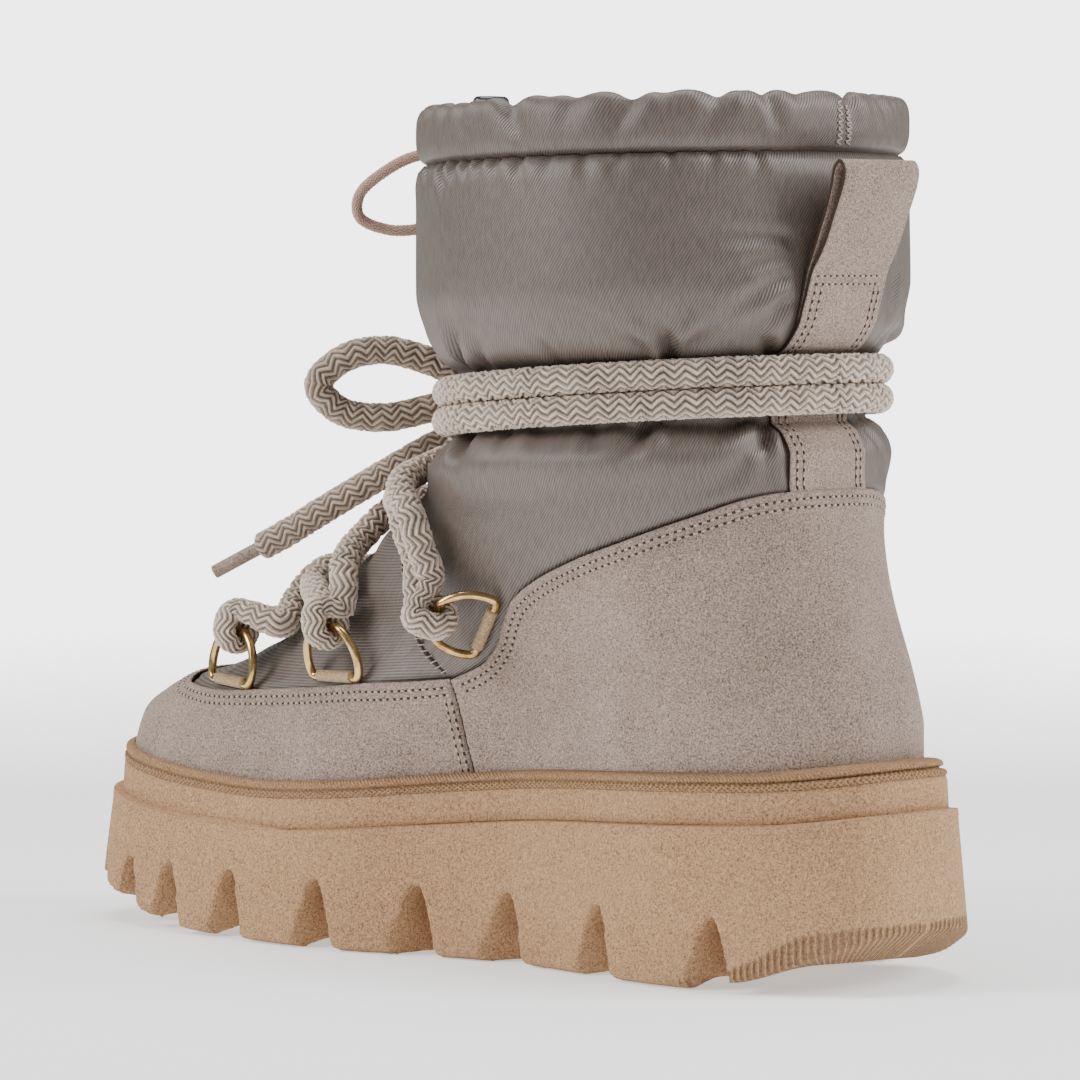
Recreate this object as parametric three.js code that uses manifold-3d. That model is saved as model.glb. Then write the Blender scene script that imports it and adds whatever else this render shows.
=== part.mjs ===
// Winter ankle boot for the right foot: padded nylon upper with suede guard and counter, lugged foam sole,
// D-ring lacing with a rope lace, gathered collar with a drawcord. Millimetres, +Z up, toe towards -X.
// The inner (big toe) side is -Y. The origin is on the ground under the middle of the sole.
import * as THREE from 'three';
import { mergeVertices } from 'three/addons/utils/BufferGeometryUtils.js';
import Module from 'manifold-3d';

// Driving dimensions
const soleLength = 278;
const ballWidth = 103.2;        // sole across the ball of the foot, at the ledge
const tipShift = 14.5;          // how far the toe swings to the inner side
const ledgeHeight = 47;         // heel height of the outsole's upper rim
const bandHeight = 8.5;         // midsole band above the rim
const bandInset = 2.2;          // band behind the rim
const weltHeight = 4.2;
const weltInset = 3;            // welt behind the rim
const wallFlare = 2.8;          // sole wall runs out towards the ground
const heelBevel = 7.5;          // ribbed bevel under the back of the heel
const grooveDepth = 16;         // side grooves between the lugs
const grooveHeight = 20;
const grooveMouth = 13;
const upperInset = 7.6;         // upper's foot line behind the sole's rim
const upperWall = 3.5;
const collarHeight = 216;       // gathered seam above the ground
const collarTilt = 2;           // the back of that seam is higher by this, the front lower
const shaftDepth = 128;         // shaft front to back
const shaftWidth = 135;
const shaftCentre = 47.3;       // shaft axis behind the middle of the sole
const casingHeight = 14.2;      // gathered tunnel above the seam
const casingWall = 4.6;
const gatherCount = 11;
const gatherDepth = 1.4;
const suedeThickness = 1.8;
const strapWidth = 29;
const strapThickness = 2.1;
const strapTop = 186.5;         // where the pull loop leaves the shaft
const seamWidth = 2.2;          // raised seam between front and side panels
const insoleThickness = 5;
const laceDiameter = 7.4;
const hookDiameter = 6.2;       // the lace pulled tight round a ring
const cordDiameter = 3;
const ringWire = 2.6;
const ringReach = 14.6;         // ring bar to the top of its arc
const ringHalf = 9.6;           // half of the straight bar
const ringTilt = 32;            // degrees off the upper, held up by the lace
const tabThickness = 0.5;
const tabLength = 14;
const agletLength = 14;
const agletDiameter = 4;
const gap = 0.3;                // between touching pieces

const around = 32;              // facets round the upper and what meets it
const soleFacets = 56;
const cordSides = 8;

// Plan of the sole: distance from the heel end as a share of the length, half widths as shares of ballWidth / 2
const solePlan = [
  { along: 0.00, inner: 0.868, outer: 0.868 },
  { along: 0.16, inner: 0.868, outer: 0.868 },
  { along: 0.40, inner: 0.714, outer: 0.770 },
  { along: 0.65, inner: 1.000, outer: 0.985 },
  { along: 0.86, inner: 0.993, outer: 0.900 },
  { along: 1.00, inner: 0.993, outer: 0.860 },
];
const planBlunt = 3;

// Side of the sole, in shares of ledgeHeight: rim, rise of the tread off the ground, lower edge of the wall
const soleSide = [
  { along: 0.00, rim: 1.000, rise: 0.170, wall: 0.340, bevel: 1.00 },
  { along: 0.04, rim: 0.965, rise: 0.150, wall: 0.230, bevel: 0.90 },
  { along: 0.10, rim: 0.930, rise: 0.060, wall: 0.085, bevel: 0.40 },
  { along: 0.16, rim: 0.915, rise: 0.000, wall: 0.030, bevel: 0.15 },
  { along: 0.35, rim: 0.855, rise: 0.000, wall: 0.030, bevel: 0.15 },
  { along: 0.50, rim: 0.775, rise: 0.000, wall: 0.030, bevel: 0.15 },
  { along: 0.62, rim: 0.706, rise: 0.000, wall: 0.030, bevel: 0.15 },
  { along: 0.72, rim: 0.676, rise: 0.000, wall: 0.030, bevel: 0.15 },
  { along: 0.81, rim: 0.695, rise: 0.015, wall: 0.045, bevel: 0.15 },
  { along: 0.92, rim: 0.755, rise: 0.150, wall: 0.180, bevel: 0.20 },
  { along: 1.00, rim: 0.830, rise: 0.270, wall: 0.310, bevel: 0.25 },
];

// Places of the side grooves: the crisp corner of each lug, as a share of the length from the heel
const groovePlaces = [0.112, 0.252, 0.381, 0.488, 0.598, 0.718, 0.811, 0.880, 0.944];

// Section of a groove at the wall: place along the wall as a share of its width, height as a share of its own
const grooveArch = [[0, -0.1], [0.36, 0.86], [0.5, 1], [0.68, 0.86], [1.05, -0.1]];

// How a groove narrows inwards: depth, width and height as shares of its own at the wall
const grooveSections = [
  { depth: -0.38, width: 1.30, height: 1.00 },
  { depth: 0.50, width: 0.75, height: 0.95 },
  { depth: 1.00, width: 0.40, height: 0.60 },
];

// Foot part of the upper. height is a share of the way from the foot line to the collar seam;
// back and front are shares of half the foot line's length, width of its half width at the ball,
// fore narrows the front of the section, round goes from the sole's plan to an oval.
const footRows = [
  { height: 0.000, back: 0.970, front: -1.015, width: 1.000, fore: 1.00, round: 0.00 },
  { height: 0.080, back: 0.970, front: -0.985, width: 1.000, fore: 0.98, round: 0.04 },
  { height: 0.120, back: 0.962, front: -0.932, width: 0.985, fore: 0.96, round: 0.10 },
  { height: 0.155, back: 0.951, front: -0.855, width: 0.975, fore: 0.95, round: 0.18 },
  { height: 0.190, back: 0.937, front: -0.752, width: 0.975, fore: 0.93, round: 0.28 },
  { height: 0.235, back: 0.914, front: -0.636, width: 0.990, fore: 0.91, round: 0.40 },
  { height: 0.285, back: 0.888, front: -0.535, width: 1.030, fore: 0.90, round: 0.55 },
  { height: 0.340, back: 0.862, front: -0.440, width: 1.100, fore: 0.90, round: 0.72 },
  { height: 0.395, back: 0.840, front: -0.340, width: 1.175, fore: 0.92, round: 0.86 },
  { height: 0.440, back: 0.826, front: -0.236, width: 1.250, fore: 0.95, round: 0.95 },
];

// Shaft of the upper: half depths behind and before its axis, and half width, as shares of the shaft's own
const shaftRows = [
  { height: 0.480, back: 0.930, front: 1.010, width: 0.870 },
  { height: 0.520, back: 0.930, front: 0.965, width: 0.910 },
  { height: 0.553, back: 0.890, front: 0.890, width: 0.860 },
  { height: 0.574, back: 0.830, front: 0.825, width: 0.795 },
  { height: 0.670, back: 0.830, front: 0.820, width: 0.795 },
  { height: 0.692, back: 0.900, front: 0.880, width: 0.870 },
  { height: 0.735, back: 0.970, front: 0.945, width: 0.940 },
  { height: 0.800, back: 0.998, front: 0.975, width: 0.990 },
  { height: 0.960, back: 0.998, front: 0.985, width: 0.992 },
  { height: 1.000, back: 0.976, front: 0.970, width: 0.968 },
];

// Edges of the suede in side view: x as a share of half the sole's length, z of the way from ledgeHeight to
// collarHeight. The counter's first rows are its front seam, which the guard meets.
const counterEdge = [
  { x: 0.111, z: -0.278 },
  { x: 0.082, z: -0.061 },
  { x: 0.038, z: 0.105 },
  { x: 0.031, z: 0.172 },
  { x: 0.108, z: 0.200 },
  { x: 0.155, z: 0.234 },
  { x: 0.188, z: 0.274 },
  { x: 0.228, z: 0.310 },
  { x: 0.290, z: 0.339 },
  { x: 0.419, z: 0.380 },
  { x: 0.540, z: 0.413 },
  { x: 0.666, z: 0.452 },
  { x: 0.760, z: 0.484 },
  { x: 0.860, z: 0.494 },
];
const frontSeamRows = 4;
const guardEdge = [
  { x: -0.030, z: 0.168 },
  { x: -0.175, z: 0.154 },
  { x: -0.352, z: 0.137 },
  { x: -0.505, z: 0.126 },
  { x: -0.650, z: 0.118 },
  { x: -0.745, z: 0.121 },
  { x: -0.800, z: 0.139 },
  { x: -0.828, z: 0.182 },
];
const panelSeam = [
  { x: 0.024, z: 0.178 },
  { x: -0.020, z: 0.214 },
  { x: -0.048, z: 0.259 },
  { x: -0.070, z: 0.348 },
  { x: -0.066, z: 0.425 },
];

// Rings on each side: angle from the back in degrees, height as in footRows, turn of the bar in degrees,
// lift off the upper
const ringRows = [
  { angle: 139.6, height: 0.1615, turn: 0, lift: 0 },
  { angle: 115.2, height: 0.186, turn: -2, lift: 0 },
  { angle: 90.6, height: 0.2645, turn: 50, lift: 0.3 },
];

// Colours and finishes
const suede = { color: 0xa09388, roughness: 0.95, metalness: 0 };
const nylon = { color: 0xa39a92, roughness: 0.5, metalness: 0 };
const foam = { color: 0xc3a17f, roughness: 0.85, metalness: 0 };
const rope = { color: 0xc0ad9f, roughness: 0.9, metalness: 0 };
const thinCord = { color: 0xb59483, roughness: 0.85, metalness: 0 };
const gold = { color: 0xb89455, roughness: 0.3, metalness: 1 };
const lining = { color: 0xb9ada2, roughness: 0.95, metalness: 0 };
const blackPlastic = { color: 0x151515, roughness: 0.35, metalness: 0 };

const wasm = await Module();
wasm.setup();

const clamp = THREE.MathUtils.clamp;
const lerp = THREE.MathUtils.lerp;
const radians = THREE.MathUtils.degToRad;
const smoothstep = THREE.MathUtils.smoothstep;

// Smooth curve through a table's column that never overshoots its rows
function column(rows, place, name) {
  const xs = rows.map((row) => row[place]);
  const ys = rows.map((row) => row[name]);
  const last = xs.length - 1;
  const slopes = ys.slice(1).map((y, i) => (y - ys[i]) / (xs[i + 1] - xs[i]));
  const tangents = ys.map((y, i) => {
    if (i === 0) return slopes[0];
    if (i === last) return slopes[last - 1];
    const product = slopes[i - 1] * slopes[i];
    return product > 0 ? 2 * product / (slopes[i - 1] + slopes[i]) : 0;
  });
  return (x) => {
    let i = 0;
    while (i < last - 1 && x > xs[i + 1]) i += 1;
    const width = xs[i + 1] - xs[i];
    const t = clamp((x - xs[i]) / width, 0, 1);
    const start = (1 + 2 * t) * (1 - t) ** 2;
    const end = t * t * (3 - 2 * t);
    const leave = t * (1 - t) ** 2 * width;
    const arrive = t * t * (t - 1) * width;
    return start * ys[i] + end * ys[i + 1] + leave * tangents[i] + arrive * tangents[i + 1];
  };
}

const planInner = column(solePlan, 'along', 'inner');
const planOuter = column(solePlan, 'along', 'outer');
const rimShare = column(soleSide, 'along', 'rim');
const riseShare = column(soleSide, 'along', 'rise');
const wallShare = column(soleSide, 'along', 'wall');
const bevelShare = column(soleSide, 'along', 'bevel');

const halfSole = soleLength / 2;
const blunt = (along, power) => (1 - Math.abs(1 - 2 * along) ** power) ** (1 / power);
const alongOf = (x) => clamp((halfSole - x) / soleLength, 0, 1);
const swing = (x) => -tipShift * clamp((alongOf(x) - 0.45) / 0.55, 0, 1) ** 2;
const rim = (x) => ledgeHeight * rimShare(alongOf(x));
const seat = (x) => rim(x) + bandHeight + gap;

// Point of the sole's plan at an angle from the back, moved inwards by inset
function planPoint(angle, inset) {
  const along = (1 - Math.cos(angle)) / 2;
  const inner = Math.sin(angle) >= 0;
  const half = (inner ? planInner : planOuter)(along) * ballWidth / 2 - inset;
  const x = (halfSole - inset) * (1 - 2 * along);
  return { x, y: (inner ? -1 : 1) * half * blunt(along, planBlunt) + swing(x) };
}

// Rows of the upper in millimetres
const footLength = halfSole - upperInset;
const footWidth = ballWidth / 2 - upperInset;
const upperRows = [
  ...footRows.map((row) => ({
    height: row.height,
    back: row.back * footLength,
    front: row.front * footLength,
    width: row.width * footWidth,
    fore: row.fore,
    round: row.round,
  })),
  ...shaftRows.map((row) => ({
    height: row.height,
    back: shaftCentre + row.back * shaftDepth / 2,
    front: shaftCentre - row.front * shaftDepth / 2,
    width: row.width * shaftWidth / 2,
    fore: 1,
    round: 1,
  })),
];
const rowBack = column(upperRows, 'height', 'back');
const rowFront = column(upperRows, 'height', 'front');
const rowWidth = column(upperRows, 'height', 'width');
const rowFore = column(upperRows, 'height', 'fore');
const rowRound = column(upperRows, 'height', 'round');

const ovalPower = 2.08;
const collarLine = (x) => collarHeight + collarTilt * clamp((x - shaftCentre) / (shaftDepth / 2), -1, 1);

// Bare surface of the upper: angle from the back in radians (inner side first), height share
function bareUpper(angle, height) {
  const along = (1 - Math.cos(angle)) / 2;
  const inner = Math.sin(angle) >= 0;
  const x = lerp(rowBack(height), rowFront(height), along);
  const plan = ((inner ? planInner : planOuter)(along) * ballWidth / 2 - upperInset) / footWidth;
  const shape = lerp(plan * blunt(along, planBlunt), blunt(along, ovalPower), rowRound(height));
  const half = rowWidth(height) * shape * lerp(1, rowFore(height), smoothstep(along, 0.35, 0.8));
  const z = lerp(seat(x), collarLine(x), height);
  return new THREE.Vector3(x, (inner ? -1 : 1) * half + swing(x), z);
}

// Directions on the upper: round towards the toe on the inner side, up, and out
function upperFrame(angle, height) {
  const step = 0.004;
  const low = Math.max(height - step, 0);
  const high = Math.min(height + step, 1);
  const round = bareUpper(angle + step, height).sub(bareUpper(angle - step, height)).normalize();
  const up = bareUpper(angle, high).sub(bareUpper(angle, low)).normalize();
  const out = new THREE.Vector3().crossVectors(up, round).normalize();
  if (height <= 0 || height >= 1) out.setZ(0).normalize();
  up.crossVectors(round, out).normalize();
  return { round, up, out };
}

function onUpper(angle, height, offset) {
  const point = bareUpper(angle, height).addScaledVector(upperFrame(angle, height).out, offset);
  return height > 0 ? point : point.setZ(seat(point.x));
}

// Closed mesh from rings of points; looped joins the last ring to the first, otherwise both ends are capped.
// From the mirrored span on, the faces are split along the other diagonal.
function loft(rings, looped, mirrored = Infinity) {
  const count = rings[0].length;
  const positions = rings.flat().flatMap((point) => [point.x, point.y, point.z]);
  const faces = [];
  const spans = looped ? rings.length : rings.length - 1;
  for (let j = 0; j < spans; j += 1) {
    const a = j * count;
    const b = ((j + 1) % rings.length) * count;
    for (let i = 0; i < count; i += 1) {
      const k = (i + 1) % count;
      if (j < mirrored) faces.push(a + i, a + k, b + k, a + i, b + k, b + i);
      else faces.push(a + i, a + k, b + i, a + k, b + k, b + i);
    }
  }
  if (!looped) {
    const top = (rings.length - 1) * count;
    for (let i = 0; i < count / 2; i += 1) {
      const corners = [i, i + 1, count - i - 1, (count - i) % count];
      ladder(faces, corners);
      ladder(faces, corners.map((corner) => top + corner).reverse());
    }
  }
  return outward(positions, faces);
}

// Quad between two sides of a cap, as the triangles that aren't empty
function ladder(faces, [a, b, c, d]) {
  if (b !== c) faces.push(a, c, b);
  if (a !== d) faces.push(a, d, c);
}

function outward(positions, faces) {
  const point = (i) => new THREE.Vector3().fromArray(positions, 3 * i);
  let volume = 0;
  for (let i = 0; i < faces.length; i += 3) {
    volume += point(faces[i]).dot(point(faces[i + 1]).cross(point(faces[i + 2])));
  }
  const geometry = new THREE.BufferGeometry();
  geometry.setAttribute('position', new THREE.Float32BufferAttribute(positions, 3));
  geometry.setIndex(volume > 0 ? faces : faces.reverse());
  return geometry;
}

// Solids for joining and cutting, and back
function solid(geometry) {
  const bare = geometry.clone();
  bare.deleteAttribute('normal');
  bare.deleteAttribute('uv');
  const merged = mergeVertices(bare, 1e-4);
  const mesh = new wasm.Mesh({
    numProp: 3,
    vertProperties: new Float32Array(merged.attributes.position.array),
    triVerts: new Uint32Array(merged.index.array),
  });
  return new wasm.Manifold(mesh);
}

function geometryOf(body) {
  const mesh = body.getMesh();
  const geometry = new THREE.BufferGeometry();
  geometry.setAttribute('position', new THREE.BufferAttribute(new Float32Array(mesh.vertProperties), 3));
  geometry.setIndex([...mesh.triVerts]);
  return geometry;
}

const angles = (count) => Array.from({ length: count }, (unused, i) => 2 * Math.PI * i / count);
const ringOf = (count, place) => angles(count).map((angle) => {
  const point = place(angle);
  return new THREE.Vector3(point.x, point.y, point.z);
});

// Sleeve of the upper's own form between two offsets, over part of its rows
function upperShell(inside, outside, from, to) {
  const heights = upperRows.map((row) => row.height).filter((height) => height >= from && height <= to);
  const outer = heights.map((height) => ringOf(around, (angle) => onUpper(angle, height, outside)));
  const inner = heights.map((height) => ringOf(around, (angle) => onUpper(angle, height, inside)));
  return loft([...outer, ...inner.reverse()], true, heights.length);
}

// Side-view region as a wall across the whole boot
function sideRegion(points) {
  const shape = new THREE.Shape(points.map(([x, z]) => new THREE.Vector2(x, z)));
  const depth = 2 * shaftWidth;
  const geometry = new THREE.ExtrudeGeometry(shape, { depth, bevelEnabled: false });
  return geometry.rotateX(Math.PI / 2).translate(0, depth / 2, 0);
}

function cordSection(diameter) {
  const corners = angles(cordSides).map((angle) => {
    return new THREE.Vector2(Math.cos(angle), Math.sin(angle)).multiplyScalar(diameter / 2);
  });
  return new THREE.Shape(corners);
}

function cord(points, diameter, steps) {
  const extrudePath = new THREE.CatmullRomCurve3(points, false, 'centripetal');
  return new THREE.ExtrudeGeometry(cordSection(diameter), { steps, extrudePath });
}

// Lugged outsole: tread, bevelled wall with a slight flare, rim, and a groove between each two lugs
function outsole() {
  const levels = [
    { inset: (along) => heelBevel * bevelShare(along), z: (along) => ledgeHeight * riseShare(along) },
    { inset: () => -wallFlare, z: (along) => ledgeHeight * wallShare(along) },
    { inset: () => 0, z: (along) => ledgeHeight * rimShare(along) - gap },
  ];
  const rings = levels.map(({ inset, z }) => ringOf(soleFacets, (angle) => {
    const along = (1 - Math.cos(angle)) / 2;
    return { ...planPoint(angle, inset(along)), z: z(along) };
  }));
  let body = solid(loft(rings, false));
  for (const place of groovePlaces) {
    for (const side of [1, -1]) body = body.subtract(solid(groove(place, side)));
  }
  return geometryOf(body);
}

// One groove: an arch narrowing inwards from the wall, crisp on the heel side, with a sloping toe-side flank
function groove(place, side) {
  const angle = side * Math.acos(1 - 2 * place);
  const at = planPoint(angle, 0);
  const ahead = planPoint(angle + side * 0.01, 0);
  const run = new THREE.Vector3(ahead.x - at.x, ahead.y - at.y, 0).normalize();
  const into = new THREE.Vector3(run.y, -run.x, 0).multiplyScalar(side);
  const rings = grooveSections.map(({ depth, width, height }) => grooveArch.map(([share, level]) => {
    const point = new THREE.Vector3(at.x, at.y, level * grooveHeight * (level > 0 ? height : 1));
    return point.addScaledVector(run, share * width * grooveMouth).addScaledVector(into, depth * grooveDepth);
  }));
  return archLoft(rings);
}

// Loft between open arches whose ends are flat polygons
function archLoft(rings) {
  const count = rings[0].length;
  const positions = rings.flat().flatMap((point) => [point.x, point.y, point.z]);
  const faces = [];
  for (let j = 0; j < rings.length - 1; j += 1) {
    for (let i = 0; i < count; i += 1) {
      const k = (i + 1) % count;
      const a = j * count;
      const b = a + count;
      faces.push(a + i, a + k, b + k, a + i, b + k, b + i);
    }
  }
  const top = (rings.length - 1) * count;
  for (let i = 1; i < count - 1; i += 1) {
    faces.push(0, i + 1, i);
    faces.push(top, top + i, top + i + 1);
  }
  return outward(positions, faces);
}

// Plate that follows the rim line, from one height above it to another
function solePlate(bottom, top, lowInset, highInset) {
  const plateRing = (inset, rise) => ringOf(soleFacets, (angle) => {
    const base = planPoint(angle, inset);
    return { ...base, z: rim(base.x) + rise };
  });
  return loft([plateRing(lowInset, bottom), plateRing(highInset, top)], false);
}

const midsole = () => solePlate(0, bandHeight, bandInset, bandInset + 0.5);

// Welt round the foot line: two beads with a groove between them
function welt() {
  const beads = [
    { reach: 0, rise: 0.02 },
    { reach: 1, rise: 0.05 },
    { reach: 1.05, rise: 0.28 },
    { reach: 0.72, rise: 0.46 },
    { reach: 0.86, rise: 0.72 },
    { reach: 0.5, rise: 1 },
    { reach: 0, rise: 1 },
  ];
  const inside = (angle) => onUpper(angle, 0, suedeThickness + 4 * gap);
  const outside = (angle) => planPoint(angle, weltInset);
  const rings = beads.map(({ reach, rise }) => ringOf(around, (angle) => {
    const near = inside(angle);
    const far = outside(angle);
    const x = lerp(near.x, far.x, reach);
    const y = lerp(near.y, far.y, reach);
    return { x, y, z: rim(x) + bandHeight + gap + weltHeight * rise };
  }));
  return loft(rings, true);
}

function insole() {
  const level = (rise) => ringOf(around, (angle) => {
    const point = onUpper(angle, 0, -upperWall - 2);
    return { x: point.x, y: point.y, z: rim(point.x) + bandHeight + gap + rise };
  });
  return loft([level(0), level(insoleThickness)], false);
}

const upper = () => upperShell(-upperWall, 0, 0, 1);

const sideX = (share) => share * halfSole;
const sideZ = (share) => lerp(ledgeHeight, collarHeight, share);
const sidePoint = ({ x, z }) => [sideX(x), sideZ(z)];

// Suede pieces, cut out of a shell over the upper
function suedePiece(points, to) {
  const shell = solid(upperShell(gap, gap + suedeThickness, 0, to));
  return geometryOf(shell.intersect(solid(sideRegion(points))));
}

function heelCounter() {
  const edge = counterEdge.map(sidePoint);
  const back = [[soleLength, edge.at(-1)[1]], [soleLength, edge[0][1]]];
  return suedePiece([...edge, ...back], 0.6);
}

function toeGuard() {
  const seamSide = counterEdge.slice(0, frontSeamRows).map(sidePoint).map(([x, z]) => [x - gap, z]);
  const edge = guardEdge.map(sidePoint);
  const front = [[-soleLength, edge.at(-1)[1]], [-soleLength, seamSide[0][1]]];
  return suedePiece([...seamSide, ...edge, ...front], 0.3);
}

// Raised seam of the front panel on one side
function frontSeam(side) {
  const edge = panelSeam.map(sidePoint);
  const behind = edge.map(([x, z]) => [x + seamWidth, z + seamWidth * 0.3]).reverse();
  const region = solid(sideRegion([...edge, ...behind]));
  const shell = solid(upperShell(gap, gap + 0.9, 0.15, 0.6));
  const half = solid(new THREE.BoxGeometry(soleLength, shaftWidth, 2 * collarHeight)
    .translate(0, -side * shaftWidth / 2, 0));
  return geometryOf(shell.intersect(region).intersect(half));
}

// Gathered tunnel above the collar seam
function collarCasing() {
  const section = [
    { offset: -0.6, rise: 0 },
    { offset: 1.2, rise: 0.3 },
    { offset: 1.1, rise: 0.66 },
    { offset: -0.6, rise: 0.94 },
    { offset: -casingWall / 2, rise: 1 },
    { offset: -casingWall, rise: 0.92 },
    { offset: -casingWall - 0.6, rise: 0.5 },
    { offset: -casingWall + 0.4, rise: 0 },
  ];
  const rings = section.map(({ offset, rise }) => ringOf(4 * gatherCount, (angle) => {
    const wave = Math.cos(gatherCount * angle) * rise;
    const point = onUpper(angle, 1, offset + (offset > 0 ? gatherDepth * wave * 0.5 : 0));
    return { x: point.x, y: point.y, z: point.z + gap + rise * (casingHeight + gatherDepth * wave) };
  }));
  return loft(rings, true);
}

// Pull strap: a strip up the back of the shaft that ends in a free loop
const loopOutline = [
  [0.4, -4], [2.6, -4], [6.2, 6], [11, 15.5], [14.2, 22.8], [14, 26.2], [11.6, 28.2], [8.6, 27.8], [6.8, 25],
  [4.8, 18], [2.4, 8], [0.4, 0],
];
const loopHole = [
  [3.3, 8], [4.5, 12.6], [6.1, 19], [7.6, 25], [9, 26.8], [11.4, 27], [12.9, 25.8], [13.2, 23.2], [10, 15.8], [6.4, 9],
];
const strapHigh = Math.max(...[0.8, 0.85, 0.9, 0.95].map((height) => rowBack(height)));

function pullStrap() {
  const low = sideZ(counterEdge.at(-1).z) + gap;
  const shell = solid(upperShell(gap, gap + strapThickness, 0.3, 1));
  const strip = new THREE.BoxGeometry(soleLength, strapWidth, strapTop - low);
  strip.translate(halfSole + shaftCentre, 0, (strapTop + low) / 2);
  const outline = new THREE.Shape(loopOutline.map(([x, z]) => new THREE.Vector2(x, z)));
  outline.holes.push(new THREE.Path(loopHole.map(([x, z]) => new THREE.Vector2(x, z))));
  const loop = new THREE.ExtrudeGeometry(outline, { depth: strapWidth, bevelEnabled: false });
  loop.rotateX(Math.PI / 2).translate(strapHigh, strapWidth / 2, strapTop);
  return geometryOf(shell.intersect(solid(strip)).add(solid(loop)));
}

// Place and directions of a ring: side is 1 on the inner side and -1 on the outer one
function ringFrame({ angle, height, turn, lift }, side) {
  const turned = side * radians(angle);
  const { round, up, out } = upperFrame(turned, height);
  const toToe = round.multiplyScalar(side);
  const lean = radians(turn);
  const reach = up.clone().multiplyScalar(Math.cos(lean)).addScaledVector(toToe, Math.sin(lean));
  const bar = toToe.clone().multiplyScalar(Math.cos(lean)).addScaledVector(up, -Math.sin(lean));
  const tilt = radians(ringTilt);
  const arm = reach.clone().multiplyScalar(Math.cos(tilt)).addScaledVector(out, Math.sin(tilt));
  const face = out.clone().multiplyScalar(Math.cos(tilt)).addScaledVector(reach, -Math.sin(tilt));
  const rest = ringWire / 2 + tabThickness + 2 * gap + lift;
  const centre = onUpper(turned, height, rest);
  return { centre, bar, arm, face, out, reach };
}

function ringPoint({ centre, bar, arm }, across, forward) {
  return centre.clone().addScaledVector(bar, across).addScaledVector(arm, forward);
}

const ringOutline = [
  [-1, 0], [-0.5, 0], [0, 0], [0.5, 0], [1, 0], [1.12, 0.3], [0.96, 0.68], [0.54, 0.94], [0, 1],
  [-0.54, 0.94], [-0.96, 0.68], [-1.12, 0.3],
];

function dRing(frame) {
  const points = ringOutline.map(([across, forward]) => {
    return ringPoint(frame, across * ringHalf, forward * ringReach);
  });
  const path = new THREE.CatmullRomCurve3(points, true, 'catmullrom', 0.5);
  return new THREE.TubeGeometry(path, 16, ringWire / 2, 6, true);
}

// Tape sleeve round the bar of a ring
function ringTab({ centre, bar, arm, face }) {
  const inside = ringWire / 2 + gap;
  const circle = (radius) => angles(cordSides).map((angle) => {
    return new THREE.Vector2(Math.cos(angle), Math.sin(angle)).multiplyScalar(radius);
  });
  const shape = new THREE.Shape(circle((inside + tabThickness) * 1.02));
  shape.holes.push(new THREE.Path(circle(inside * 1.06)));
  const geometry = new THREE.ExtrudeGeometry(shape, { depth: tabLength, bevelEnabled: false });
  geometry.translate(0, 0, -tabLength / 2);
  const turn = new THREE.Matrix4().makeBasis(arm, face, bar);
  if (turn.determinant() < 0) turn.makeBasis(face, arm, bar);
  return geometry.applyMatrix4(turn.setPosition(centre));
}

const innerRings = ringRows.map((row) => ringFrame(row, 1));
const outerRings = ringRows.map((row) => ringFrame(row, -1));

// Turn of the lace round the arc of a ring, as shares of laceTurn off the arc: first over it, last beneath it
const laceTurn = (hookDiameter + ringWire) / 2 + 2 * gap;
const laceClear = laceDiameter / 2 + 2 * gap;
const hookTurn = [
  [0.45, 1.5], [1.02, 0.5], [1, -0.3], [0.62, -0.88], [0, -1.12], [-0.62, -0.88], [-1, -0.3], [-0.96, 0.5], [-0.3, 1.4],
];

function laceHook({ centre, arm, face }) {
  const arc = centre.clone().addScaledVector(arm, ringReach);
  return hookTurn.map(([up, ahead]) => {
    return arc.clone().addScaledVector(face, up * laceTurn).addScaledVector(arm, ahead * laceTurn);
  });
}

// Places of the stretches of lace that leave a side's rings, in degrees from the front on that side,
// height as in footRows and lift off the upper
const runPlaces = [
  [[24, 0.262, 2], [4, 0.3, 2.5], [-20, 0.31, 2.5], [-42, 0.3, 3.6]],
  [[58, 0.29, 2.5], [40, 0.34, 1.5], [20, 0.385, 1], [2, 0.41, 2], [-24, 0.405, 1.5], [-50, 0.38, 1.5]],
  [[68, 0.37, 2.2], [48, 0.41, 1.4], [26, 0.43, 1.2], [4, 0.46, 1.6], [-14, 0.52, 1.2]],
];
const runSteps = [10, 12, 12];
const barPlaces = [[20, 0.235, 2.5], [0, 0.245, 2.5], [-20, 0.235, 2.5]];
const crossLift = 4.5;
const laceFineness = 0.06;

function laceRun(from, to, side, places, lift, steps) {
  const middle = places.map(([turn, height, rise]) => {
    const over = lift * (1 - smoothstep(Math.abs(turn), 4, 14));
    return onUpper(radians(side * (180 - turn)), height, laceClear + rise + over);
  });
  return cord([...from, ...middle, ...to], laceDiameter, steps);
}

// End of a stretch inside a hook, so that both join
const intoHook = (hook, last, before) => [hook.at(last), hook.at(last).clone().lerp(hook.at(before), 0.6)];
const fromFront = (hook) => intoHook(hook, 0, 1).reverse();
const toBack = (hook) => intoHook(hook, -1, -2);

// Lace of one side: hooks on its own rings, and the stretches that leave them towards the other side
function laceSide(own, other, side) {
  const hooks = own.map(laceHook);
  const across = other.map(laceHook);
  const lift = side > 0 ? crossLift : 0;
  const wrapEnd = onUpper(radians(side * 204), wrapHeight(Math.PI) - wrapPitch, laceClear);
  const targets = [toBack(across[1]), toBack(across[2]), [wrapEnd]];
  const runs = runPlaces.map((places, i) => {
    return laceRun(fromFront(hooks[i]), targets[i], side, places, lift, runSteps[i]);
  });
  return [...hooks.map((points) => cord(points, hookDiameter, 10)), ...runs];
}

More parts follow.
